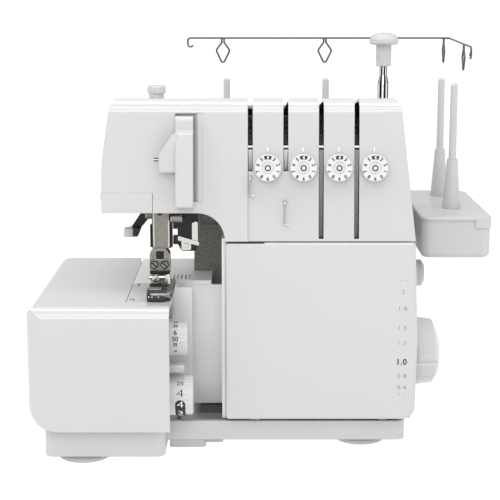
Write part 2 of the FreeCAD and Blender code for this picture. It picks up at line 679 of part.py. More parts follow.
def bed_frame():
    """Cast bracket of the free arm: carries needle plate, dials and looper shafts."""
    wall = box(-96, -90, PLATE_FRONT + 2, CLOTH_BACK - 6, FLOOR_Z, BED_Z - PLATE_THICK)
    window = slab_yz(rect(-20, 36, 24, 88, 6.0), -100, -80)
    wall = wall.cut(window)
    foot = box(-110, -80, -60, CLOTH_BACK - 6, FLOOR_Z, FLOOR_Z + 6)
    rib = box(-150, -90, -44, -38, FLOOR_Z, BED_Z - 16)
    rib = rib.cut(slab_xz(rect(-142, -120, 24, 50, 5.0), -50, -30))
    shelf = box(-102, -90, 0, CLOTH_BACK - 6, BED_Z - 16, BED_Z - WALL)
    shelf = shelf.cut(box(-110, PLATE_LEFT + WALL + GAP, -10, 60, BED_Z - 17, BED_Z))
    frame = fused(wall, foot, rib, shelf)
    holes = [cyl_x(-100, -80, y, z, DIAL_STEM) for y, z in (WIDTH_AXIS, SELECT_AXIS)]
    holes += [cyl_y(-60, -30, x, z, LOOPER_SHAFT) for x, z in (LOWER_AXIS, UPPER_AXIS)]
    holes.append(cyl_x(-100, -80, TAB_Y, TAB_Z, 2.0 + FIT))
    holes.append(slab_yz(rect(-69, -58, 74, 108, 2.0), -100, -80))
    return frame.cut(Part.Compound(holes))


DIAL_STEM = 3.0
WIDTH_AXIS = (-83.0, 83.0)
SELECT_AXIS = (-83.0, 42.0)
LOOPER_SHAFT = 4.0
LOWER_AXIS = (-112.0, 66.0)
UPPER_AXIS = (-134.0, 72.0)
THUMB_LEFT = -86.0
TAB_Y = -88.0
TAB_Z = 63.9


def thumbwheel(axis, radius, x1, flat):
    """Edge-on setting wheel: smooth numbered band and a fluted grip band."""
    y, z = axis
    rim = revolve_x([(THUMB_LEFT, 0), (THUMB_LEFT, radius - 0.8), (THUMB_LEFT + 0.8, radius), (flat, radius),
                     (flat, radius - 0.6), (x1 - 1.0, radius - 0.6), (x1, radius - 1.6), (x1, 0)], y, z)
    flutes = []
    count = 24
    for i in range(count):
        a = 2 * math.pi * i / count
        flutes.append(cyl_x(flat, x1 + 1, y + radius * math.cos(a), z + radius * math.sin(a), 1.0))
    rim = rim.cut(Part.Compound(flutes))
    stem = cyl_x(-98, THUMB_LEFT + 1, y, z, DIAL_STEM - FIT)
    clip = cyl_x(-98, -96 - GAP, y, z, DIAL_STEM + 2)
    return fused(rim, stem, clip)


def stitch_width_dial():
    return thumbwheel(WIDTH_AXIS, 12.0, -58.3, -64.5)


def stitch_selector_dial():
    return thumbwheel(SELECT_AXIS, 14.5, -54.6, -60.5)


def knife_release_tab():
    """Small push tab between the two thumbwheels, on its guide rod."""
    y = TAB_Y
    tab = slab_yz(rect(y - 6, y + 6, TAB_Z - 2.9, TAB_Z + 2.9, 2.0), -72.0, -60.6)
    rod = cyl_x(-98, -71, y, TAB_Z, 2.0)
    return fused(tab, rod)


def inner_panel():
    """White wall of the channel beside the free arm."""
    x0, x1 = -69.0, COLUMN_LEFT
    wall = box(x0, x1, -36, -33.5, BASE_TOP, 111)
    floor_lip = box(x0, x1, -36, -31, BASE_TOP, BASE_TOP + WALL)
    column = box(x1 - WALL, x1, -69.8, SPLIT_Y - WALL, BASE_TOP, PARTING_Z - 0.2)
    return fused(wall, floor_lip, column)


def throat_panel():
    """Dark plate closing the column behind the needle."""
    outline = [(THROAT_X, 96.0, 0), (COLUMN_LEFT, 96.0, 0), (COLUMN_LEFT, HEAD_BOTTOM - 0.3, 0),
               (THROAT_X, HEAD_BOTTOM - 0.3, 3.0)]
    plate = slab_xz(outline, SPLIT_Y - WALL, SPLIT_Y).cut(upper_form(-0.1))
    return plate.cut(slab_xz(rect(-52, -37, 150, 160, 2), -10, SPLIT_Y - 1.5))


# Needle, presser and cutting parts

def needle_bar():
    """Flat needle bar with the driving pin on its right side."""
    x0, x1 = NEEDLE_X - NEEDLE_BAR_WIDTH / 2, NEEDLE_X + NEEDLE_BAR_WIDTH / 2
    y0, y1 = NEEDLE_BAR_FRONT, NEEDLE_BAR_FRONT + NEEDLE_BAR_DEPTH
    bar = slab_xy(rect(x0, x1, y0, y1, 2.2), NEEDLE_BAR_LOW, NEEDLE_BAR_TOP)
    pin = cyl_x(x1 - 1, x1 + 7, rocker_tip()[0], rocker_tip()[1], 2.4)
    return fused(bar, pin)


def rocker_tip():
    a = math.radians(ROCKER_TILT)
    return ROCKER_Y - ROCKER_REACH * math.cos(a), ROCKER_Z - ROCKER_REACH * math.sin(a)


def needle_clamp():
    """Clamp block with chamfered shoulders, window and two screw seats."""
    x0, x1 = NEEDLE_X - 8.4, NEEDLE_X + 5.8
    y0, y1 = NEEDLE_BAR_FRONT - 1.5, NEEDLE_BAR_FRONT + NEEDLE_BAR_DEPTH
    outline = [(x0, CLAMP_BOTTOM, 1.0), (x1, CLAMP_BOTTOM, 1.0), (x1, NEEDLE_BAR_LOW - 4, 0),
               (x1 - 3, NEEDLE_BAR_LOW, 0), (x0 + 3, NEEDLE_BAR_LOW, 0), (x0, NEEDLE_BAR_LOW - 4, 0)]
    block = slab_xz(outline, y0, y1)
    cuts = [box(NEEDLE_X - 3.8, NEEDLE_X + 1.8, y0 - 1, y0 + 4, 137.4, 143.2)]
    for dx in NEEDLE_OFFSETS:
        cuts.append(cyl_z(CLAMP_BOTTOM - 1, CLAMP_BOTTOM + 10, NEEDLE_X + dx, NEEDLE_Y, 1.0))
    for dx in SCREW_OFFSETS:
        cuts.append(cyl_y(y0 - 1, y0 + 3.4, NEEDLE_X + dx, SCREW_Z, 1.4))
    return block.cut(Part.Compound(cuts))


SCREW_OFFSETS = (-5.0, 2.4)
SCREW_Z = 133.8


def needle_screws():
    """Two slotted needle set screws."""
    y0 = NEEDLE_BAR_FRONT - 1.5
    screws = []
    for dx in SCREW_OFFSETS:
        x = NEEDLE_X + dx
        head = cyl_y(y0 - 2.2, y0, x, SCREW_Z, 2.9)
        shank = cyl_y(y0 - 0.5, y0 + 3.4, x, SCREW_Z, 1.4)
        slot = box(x - 0.45, x + 0.45, y0 - 3, y0 - 1.2, SCREW_Z - 4, SCREW_Z + 4)
        screws.append(fused(head, shank).cut(slot))
    return Part.Compound(screws)


def needles():
    """Left and right needle, points down through the plate."""
    shapes = []
    for dx in NEEDLE_OFFSETS:
        profile = [(0, 101.0), (0.45, 104.0), (0.45, 124.0), (1.0, 127.0), (1.0, CLAMP_BOTTOM + 10),
                   (0, CLAMP_BOTTOM + 10)]
        shapes.append(revolve_z(profile, NEEDLE_X + dx, NEEDLE_Y))
    return Part.Compound(shapes)


def presser_bar():
    """Round presser bar with the lifting collar."""
    bar = cyl_z(124.5, 234.0, PRESSER_X, PRESSER_Y, PRESSER_RADIUS)
    collar = slab_xy(rect(PRESSER_X - 6, PRESSER_X + 6, PRESSER_Y - 5, PRESSER_Y + 5, 2.0), 196.8, 201.0)
    return fused(bar, collar)


def presser_foot():
    """Foot with ankle, raised toe and open needle window."""
    sole_z = BED_Z + FOOT_CLEAR
    x0, x1 = NEEDLE_X - 8.8, NEEDLE_X + 8.2
    side = [(-98.0, sole_z + 3.4, 0.8), (-92.0, sole_z, 1.0), (-40.0, sole_z, 0), (-40.0, sole_z + 3.2, 0),
            (-60.0, sole_z + 3.6, 0), (-79.0, sole_z + 3.6, 0), (-98.0, sole_z + 6.2, 0.8)]
    sole = slab_yz(side, x0, x1)
    plan = [(x0, -40.0, 3.0), (x0, -98.0, 4.0), (x1, -98.0, 2.0), (x1, -40.0, 3.0)]
    sole = sole.common(slab_xy(plan, 100, 140))
    window = slab_xy(rect(NEEDLE_X - 6.2, NEEDLE_X + 4.6, NEEDLE_Y - 5, NEEDLE_Y + 4, 2.0), 100, 140)
    sole = sole.cut(window)
    ankle = slab_yz([(-56.0, sole_z + 2, 0), (-40.5, sole_z + 2, 0), (-40.5, 132.0, 2.0), (-51.5, 132.0, 2.0)],
                    PRESSER_X - 5.0, PRESSER_X + 5.0)
    ankle = ankle.cut(cyl_z(124.5, 140, PRESSER_X, PRESSER_Y, PRESSER_RADIUS + 0.02))
    return fused(sole, ankle).cut(presser_toe())


def presser_toe():
    """Black grip block over the front of the foot."""
    z = BED_Z + FOOT_CLEAR
    x0, x1 = NEEDLE_X - 8.4, NEEDLE_X + 4.4
    side = [(-98.6, z + 0.8, 0.6), (-92.0, z + 0.3, 0), (-84.0, z + 3.0, 0), (-84.0, z + 7.0, 1.0),
            (-97.4, z + 7.6, 1.6)]
    return slab_yz(side, x0, x1)


SPRING_TOP = 240.9
KNOB_SKIRT = 1.2


def presser_spring():
    """Pressure spring round the presser bar, below the knob."""
    r = PRESSER_RADIUS + 1.4
    z0, z1 = SPRING_TOP - 26.0, SPRING_TOP
    path = Part.makeHelix(4.6, z1 - z0, r)
    section = Part.Wire(Part.makeCircle(0.7, V(r, 0, 0), V(0, 1, 0)))
    coil = Part.Wire(path).makePipeShell([section], True, True)
    coil.translate(V(PRESSER_X, PRESSER_Y, z0))
    return coil


def pressure_knob():
    """Slotted pressure screw on top of the head."""
    low = top_z(PRESSER_Y - 5.4) + GAP
    z = low + KNOB_SKIRT
    head = revolve_z([(0, low), (5.4, low), (5.4, z + 1.6), (6.5, z + 2.4), (6.5, z + 6.4),
                      (5.6, z + 7.6), (0, z + 7.6)],
                     PRESSER_X, PRESSER_Y)
    stem = cyl_z(SPRING_TOP + 0.9, z + 1, PRESSER_X, PRESSER_Y, 4.5 - FIT)
    slot = box(PRESSER_X - 8, PRESSER_X + 8, PRESSER_Y - 0.9, PRESSER_Y + 0.9, z + 5.2, z + 9)
    grips = []
    for i in range(18):
        a = math.radians(20 * i)
        grips.append(cyl_z(z + 2, z + 9, PRESSER_X + 6.9 * math.cos(a), PRESSER_Y + 6.9 * math.sin(a), 0.7))
    return fused(head, stem).cut(Part.Compound([slot] + grips))


LIFT_X = -87.0
LIFT_Z = 168.0
LIFT_Y = -24.0


def presser_lifter():
    """Lifting lever under the head, white paddle end on the left."""
    arm = link_xz(LIFT_Y - 2, LIFT_Y + 2, (LIFT_X, LIFT_Z, 4.0), (-99.0, 152.0, 3.0))
    pad = slab_xz([(-107.0, 146.4, 1.6), (-97.0, 146.4, 1.6), (-95.4, 150.6, 0), (-97.5, 153.0, 1.5),
                   (-107.0, 150.6, 1.6)], LIFT_Y - 9, LIFT_Y + 6)
    return fused(arm, pad).cut(cyl_y(LIFT_Y - 5, LIFT_Y + 5, LIFT_X, LIFT_Z, 2.5 + FIT))


def lifter_bracket():
    """Bracket under the head with the lever's pivot pin."""
    plate = slab_xz([(-91.5, HEAD_BOTTOM + 8, 0), (-76.0, HEAD_BOTTOM + 8, 0), (-78.0, 161.0, 2.0),
                     (-90.5, 161.0, 3.0)], LIFT_Y + 2 + GAP, LIFT_Y + 5 + GAP)
    arm = box(-91.0, -76.0, LIFT_Y + 2 + GAP, FRAME_BEAM_Y + 0.5, HEAD_BOTTOM + 4.5, HEAD_BOTTOM + 8)
    pin = cyl_y(LIFT_Y - 3.2, LIFT_Y + 3.5, LIFT_X, LIFT_Z, 2.5)
    head = cyl_y(LIFT_Y - 4.2, LIFT_Y - 2 - GAP, LIFT_X, LIFT_Z, 4.0)
    drop = box(-86.0, -80.0, FRAME_BEAM_Y - 4, FRAME_BEAM_Y + 9, HEAD_BOTTOM + 4.5, BEAM_Z0)
    return fused(plate, arm, pin, head, drop)


KNIFE_X = -60.0
KNIFE_Y = -60.0


def knife_arm():
    """Black carrier of the upper knife below the head, with an open window beside the needle bar."""
    left, right = KNIFE_X - 9.2, KNIFE_X + 8.5
    post = slab_xy(rect(KNIFE_X + 0.5, right, KNIFE_Y - 3, KNIFE_Y + 3, 1.5), 152.0, 204.0)
    plate = slab_xz([(left, 146.8, 0), (left + 3.4, 146.8, 1.0), (left + 6, 142.0, 1.5), (right - 1, 142.0, 2.0),
                     (right, 150.0, 0), (right, 171.0, 0), (left, 171.0, 0)], KNIFE_Y - 3, KNIFE_Y + 2.5)
    window = slab_xz(rect(left - 1, left + 3.2, 152.8, 158.0, 0), KNIFE_Y - 5, KNIFE_Y + 5)
    return fused(post, plate.cut(window))


def knife_clamp():
    """Bright clamp of the upper knife: upright strap, cross bar, set screw and blade."""
    y0 = KNIFE_Y - 6.0
    y1 = KNIFE_Y - 3
    strap = slab_xz([(KNIFE_X + 4.4, 148.0, 0), (KNIFE_X + 8.5, 148.0, 0), (KNIFE_X + 8.5, 164.6, 1.4),
                     (KNIFE_X + 4.4, 162.6, 1.0)], y0, y1)
    bar = slab_xz([(KNIFE_X - 5.6, 150.6, 0.8), (KNIFE_X + 9.4, 146.6, 0.8), (KNIFE_X + 9.4, 149.4, 0.8),
                   (KNIFE_X - 5.6, 153.8, 0.8)], y0 - 1.5, y1)
    blade = slab_xz([(KNIFE_X - 3.2, 143.0, 0), (KNIFE_X + 3.6, 143.0, 1.5), (KNIFE_X + 3.6, 150.0, 0),
                     (KNIFE_X - 3.2, 151.0, 0)], y0 + 1.2, y1)
    screw = cyl_y(y0 - 0.6, y0 + 2, KNIFE_X + 0.2, 145.8, 2.2)
    slot = box(KNIFE_X - 3, KNIFE_X + 4, y0 - 2, y0 + 0.2, 145.4, 146.2)
    return fused(strap, bar, blade, screw.cut(slot))


def lower_knife():
    """Fixed lower knife at the right edge of the needle plate."""
    x1 = CLOTH_RIGHT
    blade = slab_xz([(x1 - 2.4, 96.0, 0), (x1 - 0.2, 96.0, 0), (x1 - 0.2, BED_Z, 0), (x1 - 2.4, BED_Z - 1.0, 0)],
                    -77.8, -58.2)
    shank = box(-90.0, x1 - 0.2, -77.6, -74.6, 96.0, 101.0)
    return fused(blade, shank)


def looper(axis, tip_x, tip_z, y0, y1):
    """Looper arm on its rocking shaft, hook and point towards the needle."""
    x, z = axis
    arm = link_xz(y0, y1, (x, z, 7.0), (x + 4, z + 20, 3.4), (tip_x - 6, tip_z - 4, 2.2))
    hook = slab_xz([(tip_x - 7.5, tip_z - 5.5, 0), (tip_x - 4.0, tip_z - 5.0, 0), (tip_x, tip_z, 0),
                    (tip_x - 6.0, tip_z - 1.8, 0)], y0, y1)
    shaft = cyl_y(y0, -36.0, x, z, LOOPER_SHAFT - FIT)
    collar = cyl_y(-38 + GAP, -36.0, x, z, LOOPER_SHAFT + 2.5)
    return fused(arm, hook, shaft, collar)


def lower_looper():
    return looper(LOWER_AXIS, -87.0, 106.0, -66.0, -60.5)


def upper_looper():
    return looper(UPPER_AXIS, -104.0, 104.0, -75.0, -69.0)


FEED_Z = BED_Z - PLATE_THICK


def feed_dog(y0, y1, bar_y0, bar_y1):
    """Toothed feed dog of three strips on a slide bar."""
    strips = []
    for x in (NEEDLE_X - 6.5, NEEDLE_X - 1.5, NEEDLE_X + 3.5):
        strip = box(x - 0.9, x + 0.9, y0, y1, FEED_Z - 4, BED_Z - 0.9)
        count = int((y1 - y0) / 2.0)
        teeth = []
        for i in range(count):
            y = y0 + 2.0 * i
            teeth.append(slab_yz([(y, BED_Z - 1.0, 0), (y + 1.9, BED_Z - 1.0, 0), (y + 1.4, BED_Z - 0.1, 0)],
                                 x - 0.9, x + 0.9))
        strips.append(fused(strip, *teeth))
    bar = box(NEEDLE_X - 7.6, NEEDLE_X + 4.6, bar_y0, bar_y1, FEED_Z - 8, FEED_Z - 3)
    lug = box(-90 + GAP, NEEDLE_X - 7.0, bar_y0, bar_y1, FEED_Z - 8, FEED_Z - 3)
    return fused(bar, lug, *strips)


def feed_dog_front():
    return feed_dog(-89.4, -82.0, -90.5, -81.0)


def feed_dog_rear():
    return feed_dog(-57.8, -46.6, -56.5, -46.0)


# Frame and drive

FRAME_BEAM_Y = 22.0
BEAM_Z0 = 206.0
BEAM_DEPTH = 16.0
BEAM_CLEAR = 5.0
BEAM_Z1 = top_z(FRAME_BEAM_Y + BEAM_DEPTH) - WALL - BEAM_CLEAR
CHEEK_BACK_Z = top_z(FRAME_BACK) - WALL - BEAM_CLEAR
HEAD_PLATE_X = -110.0


def bush_spots():
    return (FRAME_LEFT_X, FRAME_RIGHT_X)


def main_frame():
    """Cast frame: floor, two cheeks, upper beam and the head plate."""
    floor = box(-52, 92, FRAME_FRONT, FRAME_BACK, FLOOR_Z, FLOOR_Z + 6)
    cheeks = []
    for x in bush_spots():
        cheek = slab_yz([(FRAME_FRONT, FLOOR_Z, 0), (FRAME_BACK, FLOOR_Z, 0), (FRAME_BACK, CHEEK_BACK_Z, 6.0),
                         (FRAME_FRONT + 4, BEAM_Z1, 12.0)], x, x + FRAME_THICK)
        window = slab_yz(rect(-14, 36, 130, 192, 8.0), x - 1, x + FRAME_THICK + 1)
        cheeks.append(cheek.cut(window))
    beam = box(HEAD_PLATE_X, FRAME_RIGHT_X + FRAME_THICK, FRAME_BEAM_Y, FRAME_BEAM_Y + 16, BEAM_Z0, BEAM_Z1)
    lighten = box(HEAD_PLATE_X + 10, FRAME_RIGHT_X - 6, FRAME_BEAM_Y + 6, FRAME_BEAM_Y + 20,
                  BEAM_Z0 + 5, BEAM_Z1 - 5)
    plate = slab_yz([(-66.0, 190.0, 4.0), (FRAME_BEAM_Y + 16, 190.0, 4.0), (FRAME_BEAM_Y + 16, BEAM_Z1, 4.0),
                     (-54.0, BEAM_Z1, 8.0)], HEAD_PLATE_X, HEAD_PLATE_X + FRAME_THICK)
    guides = []
    for z0, z1 in ((188.0, 196.0), (208.0, 214.0)):
        plan = [(HEAD_PLATE_X + 2, -70.5, 2.0), (NEEDLE_X + 6.7, -70.5, 0), (NEEDLE_X + 6.7, -39.0, 6.0),
                (HEAD_PLATE_X + 2, -39.0, 0)]
        guides.append(slab_xy(plan, z0, z1))
    knife_arm_guide = box(KNIFE_X + 0.5, KNIFE_X + 8.5, KNIFE_Y + 3.2, FRAME_BEAM_Y + 1, 194.0, 204.0)
    drop = box(KNIFE_X + 0.5, KNIFE_X + 8.5, FRAME_BEAM_Y - 6, FRAME_BEAM_Y + 8, 194.0, BEAM_Z0 + 1)
    guides += [knife_arm_guide, drop]
    frame = fused(floor, beam.cut(lighten), plate, *(cheeks + guides))
    cuts = [cyl_x(x - 1, x + FRAME_THICK + 1, SHAFT_Y, SHAFT_Z, SHAFT_RADIUS + BUSH_WALL) for x in bush_spots()]
    cuts.append(cyl_x(FRAME_LEFT_X - 1, FRAME_LEFT_X + 7, ROCKER_Y, ROCKER_Z, ROCKER_RADIUS + FIT))
    cuts.append(cyl_x(HEAD_PLATE_X - 1, HEAD_PLATE_X + 7, ROCKER_Y, ROCKER_Z, ROCKER_RADIUS + FIT))
    cuts.append(cyl_x(FRAME_RIGHT_X - 1, FRAME_RIGHT_X + 7, SHAFT_Y, MOTOR_Z, 7.0))
    cuts.append(cyl_z(170, 230, PRESSER_X, PRESSER_Y, PRESSER_RADIUS + FIT))
    half = NEEDLE_BAR_WIDTH / 2 + 0.1
    cuts.append(slab_xy(rect(NEEDLE_X - half, NEEDLE_X + half, NEEDLE_BAR_FRONT - 0.1,
                             NEEDLE_BAR_FRONT + NEEDLE_BAR_DEPTH + 0.1, 2.2), 170, 240))
    return frame.cut(Part.Compound(cuts))


def shaft_bushes():
    """Bronze bushes of the main shaft in both cheeks."""
    rings = []
    for x in bush_spots():
        ring = cyl_x(x - 1, x + FRAME_THICK + 1, SHAFT_Y, SHAFT_Z, SHAFT_RADIUS + BUSH_WALL)
        rings.append(ring.cut(cyl_x(x - 2, x + FRAME_THICK + 2, SHAFT_Y, SHAFT_Z, SHAFT_RADIUS + FIT)))
    return Part.Compound(rings)


def main_shaft():
    """Main shaft with the needle eccentric on its left end and the belt pulley on its right."""
    shaft = cyl_x(-48, 118, SHAFT_Y, SHAFT_Z, SHAFT_RADIUS)
    eccentric = cyl_x(-44, -33, SHAFT_Y, SHAFT_Z - ECCENTRIC, 8.0)
    balance = cyl_x(10, 18, SHAFT_Y, SHAFT_Z, 14.0)
    wheel = pulley(SHAFT_Y, SHAFT_Z, PULLEY_RADIUS, PULLEY_X)
    holes = []
    for i in range(5):
        a = math.radians(72 * i)
        holes.append(cyl_x(80, 100, SHAFT_Y + 15.5 * math.cos(a), SHAFT_Z + 15.5 * math.sin(a), 4.5))
    return fused(shaft, eccentric, balance, wheel.cut(Part.Compound(holes)))


def bored_for_shaft(shape):
    return shape.cut(cyl_x(-60, 118, SHAFT_Y, SHAFT_Z, SHAFT_RADIUS + 0.02))


HUB_RADIUS = 10.4


def handwheel():
    """Handwheel: fluted disc close to the body and a turning hub."""
    x0 = BODY_RIGHT_LOW + 1.6
    disc = revolve_x([(x0, 0), (x0, 24.5), (x0 + 1.5, 26.5), (x0 + 8.0, 26.5), (x0 + 9.5, 24.5), (x0 + 8.0, 18.0),
                      (x0 + 8.0, HUB_RADIUS), (119.0, HUB_RADIUS), (121.2, 7.6), (121.2, 0)], SHAFT_Y, SHAFT_Z)
    flutes = []
    for i in range(24):
        a = math.radians(15 * i)
        flutes.append(cyl_x(x0 - 1, x0 + 12, SHAFT_Y + 27.6 * math.cos(a), SHAFT_Z + 27.6 * math.sin(a), 2.0))
    wheel = disc.cut(Part.Compound(flutes))
    return bored_for_shaft(wheel)


PULLEY_X = 85.0


def pulley(y, z, r, x0):
    """Flanged belt pulley."""
    return revolve_x([(x0, 0), (x0, r + 2.2), (x0 + 0.8, r + 2.2), (x0 + 0.9, r), (x0 + PULLEY_WIDTH - 0.9, r),
                      (x0 + PULLEY_WIDTH - 0.8, r + 2.2), (x0 + PULLEY_WIDTH, r + 2.2),
                      (x0 + PULLEY_WIDTH, 0)], y, z)


def motor():
    """Motor with end bells and cooling slots, flanged to the right cheek."""
    x1 = FRAME_RIGHT_X
    x0 = x1 - MOTOR_LENGTH
    r = MOTOR_RADIUS
    body = revolve_x([(x0, 0), (x0, r - 4), (x0 + 5, r - 2), (x0 + 12, r - 2), (x0 + 12, r), (x1 - 12, r),
                      (x1 - 12, r - 2), (x1, r - 2), (x1, 0)], SHAFT_Y, MOTOR_Z)
    vents = []
    for i in range(10):
        a = 36 * i
        vent = box(x0 + 14, x1 - 14, SHAFT_Y - 1.2, SHAFT_Y + 1.2, MOTOR_Z + r - 1.6, MOTOR_Z + r + 1)
        vent.rotate(V(x0, SHAFT_Y, MOTOR_Z), V(1, 0, 0), a)
        vents.append(vent)
    bore = cyl_x(x1 - 20, x1 + 1, SHAFT_Y, MOTOR_Z, 3.0 + FIT)
    return body.cut(Part.Compound(vents + [bore]))


def motor_pulley():
    wheel = pulley(SHAFT_Y, MOTOR_Z, MOTOR_PULLEY_RADIUS, PULLEY_X)
    shaft = cyl_x(FRAME_RIGHT_X - 19, PULLEY_X + 1, SHAFT_Y, MOTOR_Z, 3.0)
    return fused(wheel, shaft)


def drive_belt():
    """Flat belt round both pulleys."""
    x0 = PULLEY_X + (PULLEY_WIDTH - BELT_WIDTH) / 2
    x1 = x0 + BELT_WIDTH

    def loop(extra):
        return link_yz(x0, x1, (SHAFT_Y, SHAFT_Z, PULLEY_RADIUS + extra),
                       (SHAFT_Y, MOTOR_Z, MOTOR_PULLEY_RADIUS + extra))
    return loop(FIT + BELT_THICK).cut(loop(FIT))


def rocker_shaft():
    """Rocking shaft with the needle-bar lever in front and the driven arm behind."""
    shaft = cyl_x(HEAD_PLATE_X + 1, FRAME_LEFT_X + 5, ROCKER_Y, ROCKER_Z, ROCKER_RADIUS)
    x0, x1 = NEEDLE_X + NEEDLE_BAR_WIDTH / 2 + 1.2, NEEDLE_X + NEEDLE_BAR_WIDTH / 2 + 6.2
    tip_y, tip_z = rocker_tip()
    lever = link_yz(x0, x1, (ROCKER_Y, ROCKER_Z, 9.0), (tip_y + 3, tip_z + 0.6, 5.0))
    slot = box(x0 - 1, x1 + 1, -12, 5.5, -2.8, 2.8)
    slot.rotate(V(0, 0, 0), V(1, 0, 0), ROCKER_TILT)
    slot.translate(V(0, tip_y, tip_z))
    arm_y, arm_z = rod_pin()
    arm = link_yz(-46, -41, (ROCKER_Y, ROCKER_Z, 9.0), (arm_y, arm_z, 5.5))
    pin = cyl_x(-41.5, -35.5, arm_y, arm_z, 3.0)
    return fused(shaft, lever.cut(slot), arm, pin)


def rod_pin():
    a = math.radians(ROCKER_TILT)
    return ROCKER_Y + 18.0 * math.cos(a), ROCKER_Z + 18.0 * math.sin(a)


def connecting_rod():
    """Rod between rocking shaft and eccentric, its big eye left open round the eccentric."""
    y, z = rod_pin()
    x0, x1 = -41 + GAP, -36.0
    big_z = SHAFT_Z + ECCENTRIC
    eye = cyl_x(x0, x1, y, z, 6.0)
    shank = link_yz(x0, x1, (y, z, 3.6), (SHAFT_Y - 1.0, big_z + 15.5, 4.2))
    ring = cyl_x(x0, x1, SHAFT_Y, big_z, 19.2)
    rod = fused(eye, shank, ring)
    return rod.cut(Part.Compound([cyl_x(x0 - 1, x1 + 1, SHAFT_Y, big_z, 16.2),
                                  cyl_x(x0 - 1, x1 + 1, y, z, 3.0 + FIT)]))


def power_switch():
    """Rocker switch low on the right wall."""
    y0, y1, z0, z1 = 12 + GAP, 34 - GAP, 42 + GAP, 58 - GAP
    x = BODY_RIGHT_LOW
    outline = [(x - 4, z0, 0), (x + 0.6, z0, 0), (x - 0.6, (z0 + z1) / 2, 0), (x + 1.8, z1, 0), (x - 4, z1, 0)]
    cap = slab_xz([(a, b, 0) for a, b, _ in outline], y0 + 2, y1 - 2)
    axle = cyl_y(y0 - 0.2, y1 + 0.2, x - 2.6, 50.0, 1.2)
    return fused(cap, axle)


def power_inlet():
    """Recessed inlet for the lead and pedal plug."""
    x = BODY_RIGHT_LOW
    shell = box(x - 6.5, x, 10, 38, 64, 78).cut(box(x - 5, x + 1, 12, 36, 66, 76))
    pins = [cyl_x(x - 5.5, x - 1.5, y, 71.0, 1.5) for y in (17.0, 24.0, 31.0)]
    return fused(shell, *pins)


# Tension units

def tension_dial(i):
    """Tension dial: fluted rim, domed face and a stem through the panel."""
    r = DIAL_RADIUS
    drum = Part.makeCone(r, r - 0.8, DIAL_DEPTH, V(0, -GAP, 0), V(0, -1, 0))
    dish = cyl_y(-DIAL_DEPTH - GAP - 1, -DIAL_DEPTH - GAP + 0.7, 0, 0, 4.6)
    boss = cyl_y(-DIAL_DEPTH - GAP, -DIAL_DEPTH + 2, 0, 0, 3.2)
    flutes = []
    for k in range(36):
        a = math.radians(10 * k)
        flutes.append(cyl_y(-DIAL_DEPTH + 1.2, 2, (r + 0.25) * math.cos(a), (r + 0.25) * math.sin(a), 0.55))
    stem = cyl_y(-1, WALL + 9.0, 0, 0, 4.0 - FIT)
    clip = cyl_y(WALL + GAP, WALL + 2.6, 0, 0, 5.6)
    dial = fused(fused(drum.cut(dish), boss).cut(Part.Compound(flutes)), stem, clip)
    return on_face(dial, dial_x(i), DIAL_Z)


DISC_Z = 218.0


def tension_discs():
    """Pairs of thread discs standing in the slots."""
    pairs = []
    for i in range(4):
        x = slot_x(i)
        y = face_y(DISC_Z) + 13.0
        for s in (-1, 1):
            disc = cyl_x(min(x + s * 0.2, x + s * 0.9), max(x + s * 0.2, x + s * 0.9), y, DISC_Z, 10.5)
            pairs.append(disc)
        pairs.append(cyl_x(x - 0.3, x + 0.3, y, DISC_Z, 4.0))
    groups = []
    for i in range(4):
        groups.append(fused(*pairs[3 * i:3 * i + 3]))
    return Part.Compound(groups)


def tension_base():
    """Plate behind the panel that carries discs and dial stems."""
    z0, z1 = 190.0, 230.0
    lean = [(face_y(z0) + 24.0, z0, 0), (face_y(z0) + 27.0, z0, 0), (face_y(z1) + 27.0, z1, 0),
            (face_y(z1) + 24.0, z1, 0)]
    plate = slab_yz(lean, slot_x(0) - 8, dial_x(3) + 14)
    arms = []
    y = face_y(DISC_Z) + 13.0
    for i in range(4):
        x = slot_x(i)
        for s in (-1, 1):
            xa, xb = sorted((x + s * 0.9, x + s * 3.4))
            arms.append(link_yz(xa, xb, (y, DISC_Z, 3.5), (face_y(DISC_Z) + 26.0, DISC_Z, 3.0)))
    legs = []
    for x in (slot_x(0) - 8, dial_x(3) + 8):
        legs.append(box(x, x + 6, face_y(210.0) + 25.0, FRAME_BEAM_Y + 1, 205.0, 215.0))
    base = fused(plate, *(arms + legs))
    return base.cut(main_frame())


def needle_thread_guides():
    """Two small wire guides on the panel below the first two slots."""
    guides = []
    for x, top, drop in ((slot_x(0), 197.0, 13.5), (slot_x(1) - 0.6, 180.0, 16.5)):
        wire = pipe([(0, -0.6, 0, 0), (0, -4.0, 0, 1.6), (-0.6, -4.0, -drop, 1.6),
                     (2.6, -3.4, -drop + 1.0, 0)], 0.8)
        boss = cyl_y(-1.6, 0, 0, 0, 1.5)
        guides.append(on_face(fused(wire, boss), x, top))
    return Part.Compound(guides)


def take_up_cover():
    """Upright thread cover in the sunk panel, with its top block and flag-shaped thread guard."""
    x0, x1 = PILLAR_X
    side = [(-90.0, 177.0, 2.0), (face_y(177.0), 177.0, 0), (face_y(180.6), 180.6, 0), (WELL_Y, 180.6, 0),
            (WELL_Y, 239.5, 0), (-79.5, 239.5, 3.0), (-79.5, 229.5, 1.0), (-82.5, 228.0, 1.0)]
    body = slab_yz(side, x0, x1)
    flag = slab_xz([(x0 + 1, 201.0, 0), (x0 + 1, 228.0, 0), (x0 - 2.0, 228.0, 1.0), (x0 - 11.6, 214.0, 2.0),
                    (x0 - 11.6, 201.0, 1.5)], -83.0, -80.0)
    return fused(body, flag)


# Thread stand

